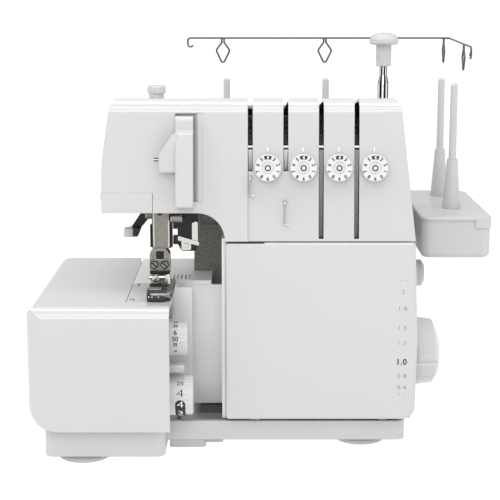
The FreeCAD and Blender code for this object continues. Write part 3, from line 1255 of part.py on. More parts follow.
STAND_CORNER = 8.0
STAND_INNER_CORNER = 4.0
LID_THICK = 3.0
LID_OVERHANG = 0.8
LID_LAP = 0.3
TRAY_BOTTOM_ROUND = 4.0
TAB_REACH = 13.0              # closing tab of the lid, measured in from its right end
TAB_LEFT = HALF_WIDTH - TAB_REACH
TAB_DROP = 9.0
TAB_THICK = 0.75


def stand_plan(inset, back):
    """Outline of the stand from above: bar behind the machine and arm on its right."""
    r = STAND_CORNER - inset
    left, right = STAND_LEFT + inset, HALF_WIDTH - inset
    arm, front = STAND_ARM_X + inset, STAND_ARM_FRONT + inset
    rear = HALF_DEPTH - inset
    return [
        (left, back, STAND_INNER_CORNER), (arm, back, STAND_INNER_CORNER), (arm, front, r),
        (right, front, r), (right, rear, r + 4), (left, rear, r),
    ]


def spool_tray():
    """Open box of the thread stand with a rounded bottom edge."""
    z0, z1 = STAND_TOP - STAND_HEIGHT, STAND_TOP - LID_THICK
    outer = slab_xy(stand_plan(LID_OVERHANG, BODY_BACK), z0, z1)
    low = [e for e in outer.Edges if e.BoundBox.ZMax < z0 + 0.1]
    outer = outer.makeFillet(TRAY_BOTTOM_ROUND, low)
    inner = slab_xy(stand_plan(LID_OVERHANG + WALL, BODY_BACK + WALL), z0 + WALL, z1 + 1)
    return outer.cut(inner)


def spool_stand():
    """Lid of the thread stand with its rolled edge, pin seats and closing tab."""
    z1 = STAND_TOP
    lid = slab_xy(stand_plan(0, BODY_BACK), z1 - LID_THICK, z1)
    rim = [e for e in lid.Edges if e.BoundBox.ZMin > z1 - 0.1]
    lid = lid.makeFillet(1.6, rim)
    edge = LID_OVERHANG + WALL
    latch = box(HALF_WIDTH - 12, HALF_WIDTH - edge - 0.5, 40, 56, z1 - 11, z1 - 2.5)
    lap = slab_xy(stand_plan(edge + LID_LAP, BODY_BACK + edge + LID_LAP), z1 - 6, z1 - 2.8)
    hollow = slab_xy(stand_plan(edge + LID_LAP + 1.6, BODY_BACK + edge + LID_LAP + 1.6), z1 - 8, z1)
    skirt = slab_xy(stand_plan(0, BODY_BACK), z1 - TAB_DROP, z1 - 2)
    skirt = skirt.cut(slab_xy(stand_plan(TAB_THICK, BODY_BACK), z1 - TAB_DROP - 1, z1))
    tab = skirt.common(box(TAB_LEFT, HALF_WIDTH + 1, STAND_ARM_FRONT - 1, STAND_ARM_FRONT + 14, 0, z1))
    lid = fused(lid, latch, lap.cut(hollow), tab)
    holes = [cyl_z(z1 - 12, z1 + 1, x, y, SPOOL_STEM) for x, y in spool_spots()]
    holes.append(cyl_z(z1 - 8, z1 + 1, POLE_X, POLE_Y, POLE_RADIUS))
    return lid.cut(Part.Compound(holes))


SPOOL_STEM = 3.0
POLE_RADIUS = 4.45


def spool_spots():
    return tuple((x, PIN_ROW_Y) for x in PIN_XS) + ((PIN_XS[2] + 0.5, PIN_FRONT_Y),)


def spool_pins():
    """Four spool pins, each with its cone."""
    z = STAND_TOP
    pins = []
    for x, y in spool_spots():
        pins.append(revolve_z([(0, z - 3), (SPOOL_STEM, z - 3), (SPOOL_STEM, z), (6.8, z),
                               (6.8, z + 3), (4.2, z + CONE_HEIGHT),
                               (3.0, z + CONE_HEIGHT), (2.7, SPOOL_PIN_TOP - 1.2), (1.6, SPOOL_PIN_TOP),
                               (0, SPOOL_PIN_TOP)], x, y))
    return Part.Compound(pins)


def tree_tube():
    """Lower tube of the telescopic thread tree."""
    z0 = STAND_TOP - STAND_HEIGHT + WALL
    neck = WIRE_Z - NECK_DROP
    top = WIRE_Z - SLEEVE_DROP - GAP
    tube = revolve_z([(0, z0), (POLE_RADIUS, z0), (POLE_RADIUS, neck - TAPER_LENGTH), (3.2, neck),
                      (3.2, top), (0, top)],
                     POLE_X, POLE_Y)
    return tube.cut(cyl_z(z0 + 4, 300, POLE_X, POLE_Y, 2.4 + FIT))


def tree_rod():
    """Sliding rod of the thread tree with its sleeve and domed cap, bored for the guide wire."""
    z0 = STAND_TOP - STAND_HEIGHT + WALL
    low = WIRE_Z - SLEEVE_DROP
    z = WIRE_Z - CAP_DROP
    rod = cyl_z(z0 + 6, low + 4, POLE_X, POLE_Y, 2.4)
    sleeve = revolve_z([(0, low), (6.0, low), (6.3, low + 1.2), (6.3, z + 0.6), (0, z + 0.6)], POLE_X, POLE_Y)
    cap = revolve_z([(0, z), (10.6, z), (11.8, z + 1.4), (11.8, z + 4.4), (10.4, z + 7.2),
                     (6.0, z + 9.3), (0, z + 9.8)],
                    POLE_X, POLE_Y)
    return fused(rod, sleeve, cap).cut(cyl_x(POLE_X - 20, POLE_X + 20, POLE_Y, WIRE_Z, WIRE_RADIUS))


def kite(x, y, along_x):
    """One thread eye: kite-shaped wire loop below the guide wire."""
    def at(side, z):
        return (x + side, y, z) if along_x else (x, y + side, z)
    half = 5.6
    pts = [at(-0.95, WIRE_Z), at(-0.95, WIRE_Z - 3.6), at(-half, WIRE_Z - 10.0), at(0, WIRE_Z - 21.5),
           at(half, WIRE_Z - 10.0), at(0.95, WIRE_Z - 3.6), at(0.95, WIRE_Z)]
    rounds = [0, 0.6, 2.6, 1.6, 2.6, 0.6, 0]
    return pipe([p + (r,) for p, r in zip(pts, rounds)], WIRE_RADIUS)


def tree_wire():
    """Guide wire with four eyes and curled ends."""
    y = PIN_ROW_Y
    right = PIN_XS[2] + 1.0
    end_x = right + 6.0
    run = pipe([(-65.0, y, WIRE_Z - 5.0, 0), (-65.0, y, WIRE_Z, 2.4), (right + 4, y, WIRE_Z, 6.0),
                (end_x, PIN_FRONT_Y, WIRE_Z - 2.5, 20.0), (end_x + 1.5, 2.5, WIRE_Z - 3.6, 2.4),
                (end_x + 1.5, 2.5, WIRE_Z - 10.0, 0)], WIRE_RADIUS)
    loops = [kite(PIN_XS[0] - 3.0, y, True), kite(PIN_XS[1] - 1.0, y, True), kite(right, y, False)]
    last = kite(end_x, PIN_FRONT_Y, False)
    last.translate(V(0, 0, -2.5))
    wire = run
    for loop in loops + [last]:
        wire = wire.fuse(loop)
    return wire


PIECES = {
    "base_pan": base_pan, "feet": feet, "main_frame": main_frame, "bed_frame": bed_frame,
    "front_panel": front_panel, "face_cover": face_cover, "rear_housing": rear_housing,
    "throat_panel": throat_panel, "inner_panel": inner_panel, "needle_plate": needle_plate,
    "rear_bed_plate": rear_bed_plate, "cloth_plate": cloth_plate, "looper_cover": looper_cover,
    "hinge_pins": hinge_pins, "take_up_cover": take_up_cover, "needle_bar": needle_bar,
    "needle_clamp": needle_clamp, "needle_screws": needle_screws, "needles": needles,
    "presser_bar": presser_bar, "presser_foot": presser_foot, "presser_toe": presser_toe,
    "presser_spring": presser_spring, "pressure_knob": pressure_knob, "presser_lifter": presser_lifter,
    "lifter_bracket": lifter_bracket, "knife_arm": knife_arm, "knife_clamp": knife_clamp,
    "lower_knife": lower_knife, "lower_looper": lower_looper, "upper_looper": upper_looper,
    "feed_dog_front": feed_dog_front, "feed_dog_rear": feed_dog_rear, "shaft_bushes": shaft_bushes,
    "main_shaft": main_shaft, "handwheel": handwheel, "motor": motor, "motor_pulley": motor_pulley,
    "drive_belt": drive_belt, "rocker_shaft": rocker_shaft, "connecting_rod": connecting_rod,
    "differential_dial": differential_dial, "stitch_width_dial": stitch_width_dial,
    "stitch_selector_dial": stitch_selector_dial, "knife_release_tab": knife_release_tab,
    "power_switch": power_switch, "power_inlet": power_inlet, "tension_discs": tension_discs,
    "tension_base": tension_base, "needle_thread_guides": needle_thread_guides, "spool_tray": spool_tray,
    "spool_stand": spool_stand, "spool_pins": spool_pins, "tree_tube": tree_tube, "tree_rod": tree_rod,
    "tree_wire": tree_wire,
}

os.makedirs("parts", exist_ok=True)
for name, make in PIECES.items():
    make().exportStep("parts/" + name + ".step")
for i in range(4):
    tension_dial(i).exportStep("parts/tension_dial_" + str(i + 1) + ".step")
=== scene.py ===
"""Dress for the overlock sewing machine: finishes, dial figures, slot linings, fasteners, studio and camera."""
import bmesh
import bpy
import math
from mathutils import Matrix, Vector


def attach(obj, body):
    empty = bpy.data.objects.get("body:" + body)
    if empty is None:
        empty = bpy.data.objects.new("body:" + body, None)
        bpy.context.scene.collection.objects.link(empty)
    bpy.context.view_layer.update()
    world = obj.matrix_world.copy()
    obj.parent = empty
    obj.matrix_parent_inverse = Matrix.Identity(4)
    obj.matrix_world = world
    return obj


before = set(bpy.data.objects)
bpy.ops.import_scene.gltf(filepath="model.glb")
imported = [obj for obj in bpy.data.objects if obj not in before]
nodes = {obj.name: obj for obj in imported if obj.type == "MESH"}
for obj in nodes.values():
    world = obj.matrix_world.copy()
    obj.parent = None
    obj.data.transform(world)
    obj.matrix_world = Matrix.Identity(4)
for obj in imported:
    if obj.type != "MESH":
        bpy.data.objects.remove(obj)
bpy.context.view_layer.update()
bpy.ops.object.select_all(action="DESELECT")

MM = 0.001


# Finishes

COAT_ROUGHNESS = 0.08
BROAD_MM = 60.0
RELIEF_DEPTH = 0.1 * MM


def linear(code):
    """sRGB hex to linear RGBA."""
    rgb = [int(code[i:i + 2], 16) / 255 for i in (1, 3, 5)]
    return tuple(c / 12.92 if c <= 0.04045 else ((c + 0.055) / 1.055) ** 2.4 for c in rgb) + (1.0,)


def add(material, kind, values=None, links=None, **settings):
    """Adds one node with its settings, socket values and incoming links."""
    tree = material.node_tree
    made = tree.nodes.new(kind)
    for key, value in settings.items():
        setattr(made, key, value)
    for key, value in (values or {}).items():
        made.inputs[key].default_value = value
    for key, source in (links or {}).items():
        tree.links.new(source, made.inputs[key])
    return made


def new_finish(name, code, roughness, metallic=0.0, coat=0.0):
    """A principled surface with its steady values on the shader's own sockets."""
    material = bpy.data.materials.new(name)
    material.use_nodes = True
    shader = material.node_tree.nodes["Principled BSDF"]
    shader.inputs["Base Color"].default_value = linear(code)
    shader.inputs["Roughness"].default_value = roughness
    shader.inputs["Metallic"].default_value = metallic
    shader.inputs["Coat Weight"].default_value = coat
    shader.inputs["Coat Roughness"].default_value = COAT_ROUGHNESS
    return material, shader


def surface(name, code, code_b, roughness, spread, grain_mm, bump, metallic=0.0, coat=0.0,
            stretch=(1, 1, 1), edge_mm=0.0, speckle=0.0, edge_highlight="", flank=""):
    """Finish whose tone, gloss and relief wander with a grain of the given size in millimetres.

    speckle mixes the grain into the tone; the tone given for rounded edges is a painted highlight, and the tone given
    for faces turned sideways along X is a painted shade.
    """
    material, shader = new_finish(name, code, roughness, metallic, coat)
    place = add(material, "ShaderNodeTexCoord")
    turned = add(material, "ShaderNodeMapping", {"Scale": stretch}, {"Vector": place.outputs["Object"]})
    broad = add(material, "ShaderNodeTexNoise", {"Scale": 1000 / BROAD_MM, "Detail": 3.0},
                {"Vector": place.outputs["Object"]})
    fine = add(material, "ShaderNodeTexNoise", {"Scale": 1000 / grain_mm, "Detail": 4.0, "Roughness": 0.6},
               {"Vector": turned.outputs["Vector"]})
    tone = add(material, "ShaderNodeMix", {6: linear(code), 7: linear(code_b)}, {0: broad.outputs["Fac"]},
               data_type="RGBA")
    if speckle:
        grit = add(material, "ShaderNodeMapRange", {"From Min": 0.4, "From Max": 0.6, "To Min": 1 - speckle,
                                                    "To Max": 1 + speckle}, {"Value": fine.outputs["Fac"]})
        tone = add(material, "ShaderNodeMix", {0: 1.0}, {6: tone.outputs[2], 7: grit.outputs["Result"]},
                   data_type="RGBA", blend_type="MULTIPLY")
    shape = add(material, "ShaderNodeNewGeometry")
    # Painted shade: faces turned sideways along X take the darker flank tone
    if flank:
        across = add(material, "ShaderNodeVectorMath", {1: (1, 0, 0)}, {0: shape.outputs["True Normal"]},
                     operation="DOT_PRODUCT")
        side = add(material, "ShaderNodeMath", {}, {0: across.outputs["Value"]}, operation="ABSOLUTE")
        aside = add(material, "ShaderNodeMapRange", {"From Min": 0.5, "From Max": 0.9}, {"Value": side.outputs[0]})
        tone = add(material, "ShaderNodeMix", {7: linear(flank)}, {0: aside.outputs["Result"], 6: tone.outputs[2]},
                   data_type="RGBA")
    gloss = add(material, "ShaderNodeMapRange", {"From Min": 0.3, "From Max": 0.7, "To Min": roughness - spread,
                                                 "To Max": roughness + spread}, {"Value": fine.outputs["Fac"]})
    relief = add(material, "ShaderNodeBump", {"Strength": bump, "Distance": RELIEF_DEPTH},
                 {"Height": fine.outputs["Fac"]})
    tree = material.node_tree
    if edge_mm:
        soft = add(material, "ShaderNodeBevel", {"Radius": edge_mm * MM}, samples=4)
        tree.links.new(soft.outputs["Normal"], relief.inputs["Normal"])
    # Painted highlight: rounded edges, where the softened normal parts from the true one, take the lighter tone
    if edge_mm and edge_highlight:
        along = add(material, "ShaderNodeVectorMath", {},
                    {0: soft.outputs["Normal"], 1: shape.outputs["True Normal"]}, operation="DOT_PRODUCT")
        edge_highlight_mask = add(material, "ShaderNodeMapRange", {"From Min": 0.985, "From Max": 0.9},
                     {"Value": along.outputs["Value"]})
        tone = add(material, "ShaderNodeMix", {7: linear(edge_highlight)}, {0: edge_highlight_mask.outputs["Result"], 6: tone.outputs[2]},
                   data_type="RGBA")
    tree.links.new(tone.outputs[2], shader.inputs["Base Color"])
    tree.links.new(gloss.outputs["Result"], shader.inputs["Roughness"])
    tree.links.new(relief.outputs["Normal"], shader.inputs["Normal"])
    return material


# Gloss-moulded ABS: cool off-white, a clear skin with a faint orange-peel of about 1.5 mm and softened edges
white_abs = surface("moulded_white_ABS", "#C3C3C3", "#C0C0C0", 0.11, 0.02, 1.6, 0.02, coat=0.25, edge_mm=0.7)
# The same ABS on the slim take-up cover, whose long edges are rounded by 2 mm and look soft
round_abs = surface("rounded_white_ABS", "#C1C1C1", "#BEBEBE", 0.15, 0.02, 1.6, 0.02, coat=0.25, edge_mm=2.0)
# The same ABS in the stand and the base, a little greyer from a duller tool
stand_abs = surface("dull_white_ABS", "#C1C1C1", "#BDBDBD", 0.3, 0.04, 1.2, 0.04, edge_mm=0.7)
# ABS of the inner walls and the rear bed, painted much whiter than the outer shells to lift the shade that falls on
# them under the head and in the recess
brightened_inner_abs = surface("brightened_inner_ABS", "#F4F4F4", "#F1F1F1", 0.22, 0.03, 1.6, 0.03, edge_mm=0.7)
# Satin-moulded ABS of the dials: brighter, with a fine spark-eroded grain
dial_abs = surface("satin_white_ABS", "#D6D6D5", "#D2D2D1", 0.36, 0.05, 0.5, 0.06, edge_mm=0.3)
# Spark-eroded grey ABS: dark, matt, with a 0.4 mm grain drawn at 0.9 mm so that it shows as speckle
grey_abs = surface("grained_grey_ABS", "#8A8884", "#807E7A", 0.62, 0.08, 0.9, 0.6, speckle=0.35)
# Grey ABS of the long thread channels, satin and speckled
strip_abs = surface("channel_grey_ABS", "#8E8C8A", "#848280", 0.5, 0.06, 0.8, 0.2, speckle=0.2)
# Glass-filled nylon: near black with a dull moulded skin
black_nylon = surface("black_nylon", "#1B1A1A", "#232222", 0.5, 0.08, 0.6, 0.3)
# Sand-blasted and nickel-plated steel: grey, softly shining, a fine grit
# Its rounded edges carry a painted highlight and its faces turned sideways along X a painted dark shade
blasted_steel = surface("blasted_nickel_steel", "#918D8A", "#85817C", 0.45, 0.08, 0.6, 0.35, metallic=1.0,
                        edge_mm=0.7, speckle=0.3, edge_highlight="#E6E4E1", flank="#2B2928")
# Ground and satin-chromed steel of the needle plate: pale, fine straight scratches along the bed
satin_chrome = surface("satin_chrome", "#DCDBD9", "#D5D4D2", 0.5, 0.05, 0.8, 0.06, metallic=0.4,
                       stretch=(1, 0.05, 1), edge_mm=0.4)
# Ground steel: fine straight scratches along the bed
ground_steel = surface("ground_steel", "#B9B6B3", "#A9A6A3", 0.34, 0.08, 0.5, 0.2, metallic=1.0, stretch=(1, 0.05, 1))
# Polished nickel wire and screws: mirror-bright with slight handling haze
bright_nickel = surface("polished_nickel", "#CFCDC9", "#C1BFBB", 0.14, 0.05, 3.0, 0.03, metallic=1.0)
# Bright chrome of the tree tube: dark and bright bands of painted reflection run along it, set by the angle round the
# tube's axis
TUBE_AXIS = (94.3 * MM, 89.0 * MM, 0)
TUBE_REFLECTION_BANDS = 8.0
chrome = surface("bright_chrome", "#D8D8D9", "#D0D0D2", 0.1, 0.02, 4.0, 0.01, metallic=1.0, edge_mm=0.3)
tube_place = add(chrome, "ShaderNodeTexCoord")
tube_round = add(chrome, "ShaderNodeVectorMath", {1: TUBE_AXIS}, {0: tube_place.outputs["Object"]},
                 operation="SUBTRACT")
tube_axes = add(chrome, "ShaderNodeSeparateXYZ", {}, {0: tube_round.outputs["Vector"]})
tube_angle = add(chrome, "ShaderNodeMath", {}, {0: tube_axes.outputs["X"], 1: tube_axes.outputs["Y"]},
                 operation="ARCTAN2")
tube_turns = add(chrome, "ShaderNodeMath", {1: TUBE_REFLECTION_BANDS}, {0: tube_angle.outputs[0]}, operation="MULTIPLY")
tube_wave = add(chrome, "ShaderNodeMath", {}, {0: tube_turns.outputs[0]}, operation="SINE")
tube_reflection_mask = add(chrome, "ShaderNodeMapRange", {"From Min": -0.2, "From Max": 0.5}, {"Value": tube_wave.outputs[0]})
# Painted reflection: the tube's base colour swings between dark and bright with the angle round its axis
tube_painted_reflection = add(chrome, "ShaderNodeMix", {6: linear("#2A2A2C"), 7: linear("#E2E2E3")},
                {0: tube_reflection_mask.outputs["Result"]}, data_type="RGBA")
chrome.node_tree.links.new(tube_painted_reflection.outputs[2], chrome.node_tree.nodes["Principled BSDF"].inputs["Base Color"])
# Drawn wire, dull nickel: grey-brown and darker than the screws
guide_wire = surface("drawn_nickel_wire", "#6A6764", "#5C5956", 0.3, 0.06, 1.0, 0.05, metallic=1.0)
# Gun-blued steel: black with a faint oily sheen
blued_steel = surface("blued_steel", "#1C1B1B", "#252424", 0.36, 0.08, 1.2, 0.1, metallic=0.5)
# Die-cast aluminium: dull silver with a sand-like skin
cast_aluminium = surface("die_cast_aluminium", "#8F8F91", "#7F7F82", 0.5, 0.1, 1.0, 0.5, metallic=1.0)
# Sintered bronze: brown, open-pored
sintered_bronze = surface("sintered_bronze", "#9A7540", "#86632F", 0.45, 0.1, 0.6, 0.4, metallic=1.0)
# Soft moulded rubber: light grey and matt
grey_rubber = surface("moulded_rubber", "#B9B7B5", "#ADABA9", 0.68, 0.06, 1.0, 0.3)
# Belt rubber: black with cloth-backed dullness
belt_rubber = surface("belt_rubber", "#1A1A1A", "#232323", 0.7, 0.06, 0.8, 0.4)
# Pad-printed ink: dead black, slightly raised, dull
ink = surface("printed_ink", "#1B1A1A", "#242323", 0.6, 0.05, 0.4, 0.05)
# Pad-printed grey ink of the feed scale and the ruler
grey_ink = surface("printed_grey_ink", "#7E7E7E", "#868686", 0.6, 0.05, 0.4, 0.05)
# Pad-printed white ink
white_ink = surface("printed_white_ink", "#F6F6F4", "#F0F0EE", 0.55, 0.05, 0.4, 0.05)

FINISHES = {
    white_abs: "front_panel face_cover rear_housing cloth_plate looper_cover "
               "differential_dial pressure_knob knife_release_tab",
    brightened_inner_abs: "inner_panel rear_bed_plate",
    round_abs: "take_up_cover",
    stand_abs: "base_pan spool_stand spool_tray spool_pins tree_rod handwheel",
    dial_abs: "tension_dial_1 tension_dial_2 tension_dial_3 tension_dial_4 stitch_width_dial stitch_selector_dial",
    grey_abs: "throat_panel",
    black_nylon: "presser_toe power_switch power_inlet tension_base presser_lifter",
    blasted_steel: "needle_bar needle_clamp presser_bar presser_foot lifter_bracket needle_screws",
    satin_chrome: "needle_plate",
    ground_steel: "lower_knife hinge_pins main_shaft rocker_shaft connecting_rod lower_looper upper_looper "
                  "feed_dog_front feed_dog_rear motor motor_pulley",
    bright_nickel: "needles knife_clamp presser_spring needle_thread_guides",
    chrome: "tree_tube",
    guide_wire: "tree_wire",
    blued_steel: "knife_arm tension_discs",
    cast_aluminium: "main_frame bed_frame",
    sintered_bronze: "shaft_bushes",
    grey_rubber: "feet",
    belt_rubber: "drive_belt",
}
for finish, names in FINISHES.items():
    for name in names.split():
        node = nodes[name]
        node.data.materials.clear()
        node.data.materials.append(finish)


# Making pieces

def begin(kind, centre, span, turn=(0, 0, 0), **more):
    """Adds a primitive of one millimetre, brings it to its size and place and opens it for shaping."""
    bpy.ops.object.select_all(action="DESELECT")
    getattr(bpy.ops.mesh, "primitive_" + kind + "_add")(**more)
    piece = bpy.context.object
    piece.scale = [s * MM for s in span]
    piece.rotation_euler = [math.radians(t) for t in turn]
    piece.location = [c * MM for c in centre]
    bpy.ops.object.transform_apply(location=True, rotation=True, scale=True)
    bpy.ops.object.mode_set(mode="EDIT")
    return piece


def block(low, high):
    """A box between two corners, open for shaping."""
    return begin("cube", [(a + b) / 2 for a, b in zip(low, high)], [b - a for a, b in zip(low, high)], size=1)


def disc(radius, height, sides=32):
    """A round plug standing on the origin along Z, open for shaping."""
    return begin("cylinder", (0, 0, height / 2), (radius, radius, height), vertices=sides, radius=1, depth=1)


def pick(piece, test, edges=False):
    """Selects the faces or edges whose middle and normal (or run) pass the test."""
    bpy.ops.mesh.select_mode(type="EDGE" if edges else "FACE")
    bpy.ops.mesh.select_all(action="DESELECT")
    mesh = bmesh.from_edit_mesh(piece.data)
    if edges:
        for edge in mesh.edges:
            a, b = [corner.co / MM for corner in edge.verts]
            edge.select_set(test((a + b) / 2, (b - a).normalized()))
    else:
        for face in mesh.faces:
            face.select_set(test(face.calc_center_median() / MM, face.normal))
    mesh.select_flush_mode()
    bmesh.update_edit_mesh(piece.data)


def bevel(width, steps=2):
    """Rounds the selected edges."""
    bpy.ops.mesh.bevel(offset=width * MM, segments=steps, affect="EDGES")


def inset(width, sink=0.0):
    """Draws the selected faces in, and down by a depth or up by a negative one."""
    bpy.ops.mesh.inset(thickness=width * MM, depth=-sink * MM)


def extrude(x, y, z):
    """Pulls the selected faces out by a step."""
    bpy.ops.mesh.extrude_region_move(TRANSFORM_OT_translate={"value": (x * MM, y * MM, z * MM)})


def close(piece):
    """Merges doubles, turns the faces outward and leaves edit mode."""
    bpy.ops.mesh.select_all(action="SELECT")
    bpy.ops.mesh.remove_doubles(threshold=0.000002)
    bpy.ops.mesh.normals_make_consistent(inside=False)
    bpy.ops.object.mode_set(mode="OBJECT")
    return piece


def only(piece):
    """Leaves one piece selected."""
    bpy.ops.object.select_all(action="DESELECT")
    piece.select_set(True)
    bpy.context.view_layer.objects.active = piece


def keep(piece, name, finish, body):
    """Names a shaped piece, gives it its finish and lets it ride."""
    only(piece)
    bpy.ops.object.transform_apply(location=True, rotation=True, scale=True)
    bpy.ops.object.shade_smooth_by_angle(angle=math.radians(35))
    piece.name = name
    piece.data.name = name
    piece.data.materials.clear()
    piece.data.materials.append(finish)
    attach(piece, body)
    return piece


def twin(piece, place):
    """A copy with its own mesh, set at a place."""
    other = piece.copy()
    other.data = piece.data.copy()
    other.matrix_world = place
    bpy.context.collection.objects.link(other)
    return other


def join(pieces):
    """Makes one piece of several, where they stand."""
    bpy.ops.object.select_all(action="DESELECT")
    for piece in pieces:
        piece.select_set(True)
    bpy.context.view_layer.objects.active = pieces[0]
    bpy.ops.object.transform_apply(location=True, rotation=True, scale=True)
    bpy.ops.object.join()
    return pieces[0]


def discard(piece):
    """Removes a pattern once its copies are made."""
    bpy.data.objects.remove(piece)


INK_THICK = 0.12
CAP_SHARE = 0.72


def figure(text, tall, bold=0.0, spread=1.0, wide=1.0):
    """A printed figure lying on the origin, facing up, as tall as given in millimetres."""
    bpy.ops.object.select_all(action="DESELECT")
    bpy.ops.object.text_add()
    piece = bpy.context.object
    piece.data.body = text
    piece.data.size = tall * MM / CAP_SHARE
    piece.data.offset = bold * MM
    piece.data.space_character = spread
    piece.data.extrude = INK_THICK * MM
    piece.data.resolution_u = 3
    bpy.ops.object.convert(target="MESH")
    bpy.ops.object.origin_set(type="ORIGIN_GEOMETRY", center="BOUNDS")
    piece = bpy.context.object
    piece.location = (0, 0, 0)
    piece.scale = (wide, 1, 1)
    bpy.ops.object.transform_apply(location=True, rotation=True, scale=True)
    return piece


def tangent(x, y, z, lean):
    """Place of a piece that faces the front, leaning back by an angle; its Y runs up the surface."""
    return Matrix.Translation(Vector((x, y, z)) * MM) @ Matrix.Rotation(math.pi / 2 - lean, 4, "X")


FACE_LOW = (-81.0, 152.5)
FACE_SLOPE = 11.0 / 99.5
FACE_LEAN = math.atan(FACE_SLOPE)


def on_face(x, z, off=0.0):
    """Place on the leaning tension panel, lifted off it by some millimetres."""
    y = FACE_LOW[0] + (z - FACE_LOW[1]) * FACE_SLOPE
    return tangent(x, y - off * math.cos(FACE_LEAN), z + off * math.sin(FACE_LEAN), FACE_LEAN)


# Tension dials

DIAL_PITCH = 24.7
DIAL_X = [-2.2 + DIAL_PITCH * i for i in range(4)]
SLOT_X = [-14.3 + DIAL_PITCH * i for i in range(4)]
DIAL_Z = 203.5
DIAL_FRONT = 7.4
DIAL_FIGURES = "4321098765"
FIGURE_RADIUS = 7.35
FIGURE_TALL = 2.5
WINDOW_TALL = 2.5
WINDOW_HALF_TURN = 19


def dial_marks():
    """Ring of figures, black window with its white figure, ring and pin at the middle, on each dial."""
    figures = []
    for step, text in enumerate(DIAL_FIGURES[1:], 1):
        piece = figure(text, FIGURE_TALL, 0.09)
        angle = -math.radians(360 / len(DIAL_FIGURES) * step)
        piece.matrix_world = Matrix.Rotation(angle, 4, "Z") @ Matrix.Translation((0, FIGURE_RADIUS * MM, 0))
        figures.append(piece)
    figures = join(figures)
    reading = figure(DIAL_FIGURES[0], 2.0, 0.1)
    reading.location = (0, FIGURE_RADIUS * MM, INK_THICK * MM)
    window = begin("plane", (0, FIGURE_RADIUS, 0), (2 * INK_THICK, WINDOW_TALL, 1), turn=(0, 90, 0), size=1)
    bpy.ops.mesh.spin(steps=12, angle=math.radians(WINDOW_HALF_TURN), center=(0, 0, 0), axis=(0, 0, 1))
    close(window)
    mirrored = window.modifiers.new("both_sides", "MIRROR")
    mirrored.use_axis = (True, False, False)
    only(window)
    bpy.ops.object.modifier_apply(modifier="both_sides")
    bpy.ops.object.mode_set(mode="EDIT")
    pick(window, lambda middle, normal: abs(normal.x) > 0.9 and abs(middle.x) < 0.01)
    bpy.ops.mesh.delete(type="FACE")
    close(window)
    ring = disc(2.15, 0.2)
    pick(ring, lambda middle, normal: normal.z > 0.9)
    inset(0.9, 0.15)
    close(ring)
    pin = disc(1.2, 0.3, 24)
    pick(pin, lambda middle, run: middle.z > 0.29 and abs(run.z) < 0.1, edges=True)
    bevel(0.2, 3)
    close(pin)
    for i, x in enumerate(DIAL_X):
        place = on_face(x, DIAL_Z, DIAL_FRONT)
        body = f"dial_{i + 1}"
        for piece, name, finish, slot in ((figures, "dial_figures", ink, "black_plastic"),
                                          (window, "dial_window", ink, "black_plastic"),
                                          (reading, "dial_reading", white_ink, "white_plastic"),
                                          (ring, "dial_ring", ink, "black_plastic"),
                                          (pin, "dial_pin", white_ink, "white_plastic")):
            keep(twin(piece, place @ piece.matrix_world), f"{name}_{i + 1}", finish, body)
    for piece in (figures, window, reading, ring, pin):
        discard(piece)


def dial_pointers():
    """Small raised pointer above each dial."""
    pointer = block((-0.45, 11.2, -0.2), (0.45, 14.0, 0.4))
    pick(pointer, lambda middle, run: middle.z > 0.3, edges=True)
    bevel(0.25)
    close(pointer)
    for i, x in enumerate(DIAL_X):
        keep(twin(pointer, on_face(x, DIAL_Z)), f"dial_pointer_{i + 1}", white_ink, "base")
    discard(pointer)


# Printed scales

COVER_LOW = (-85.0, 23.0)
COVER_SLOPE = 3.5 / 130.5
SCALE_X = 93.0


def on_cover(x, z):
    """Place on the leaning front of the looper cover."""
    return tangent(x, COVER_LOW[0] + (z - COVER_LOW[1]) * COVER_SLOPE, z, math.atan(COVER_SLOPE))


def cover_scale():
    """Feed scale at the right edge of the looper cover; the neutral value is bold."""
    marks = []
    rows = (("- -", 124.9), ("2", 116.6), ("1.8", 104.8), ("1.5", 91.0), ("1.3", 80.1), ("0.8", 56.0),
            ("0.6", 47.9), ("- -", 42.7))
    for text, z in rows:
        piece = figure(text, 2.9, -0.02, 1.35)
        piece.matrix_world = on_cover(SCALE_X, z)
        marks.append(piece)
    keep(join(marks), "cover_scale", grey_ink, "front_cover")
    neutral = figure("1.0", 4.2, 0.12, 1.1)
    neutral.matrix_world = on_cover(SCALE_X, 66.3)
    keep(neutral, "cover_scale_neutral", ink, "front_cover")


WRAP_STEP = 0.7
WIDTH_AXIS = (-83.0, 83.0)
WIDTH_RADIUS = 12.0
WIDTH_FIGURE_X = -66.6
SELECT_AXIS = (-83.0, 42.0)
SELECT_RADIUS = 14.5
SELECT_FIGURE_X = -63.6
SELECT_BAND_X = -63.4
BAND_HALF = 3.5
BAND_LONG = 19.0


def wrap(piece, axis, radius, x, turn):
    """Cuts a flat print across and lays it round a thumbwheel, its middle at an angle above the front."""
    heights = [corner.co.y for corner in piece.data.vertices]
    only(piece)
    bpy.ops.object.mode_set(mode="EDIT")
    for cut in range(1, int((max(heights) - min(heights)) / (WRAP_STEP * MM)) + 1):
        bpy.ops.mesh.select_all(action="SELECT")
        bpy.ops.mesh.bisect(plane_co=(0, min(heights) + cut * WRAP_STEP * MM, 0), plane_no=(0, 1, 0))
    close(piece)
    y0, z0 = axis
    for corner in piece.data.vertices:
        u, v, lift = corner.co / MM
        angle = math.radians(turn) + v / radius
        reach = radius + lift
        corner.co = Vector((x + u, y0 - reach * math.cos(angle), z0 + reach * math.sin(angle))) * MM
    return piece


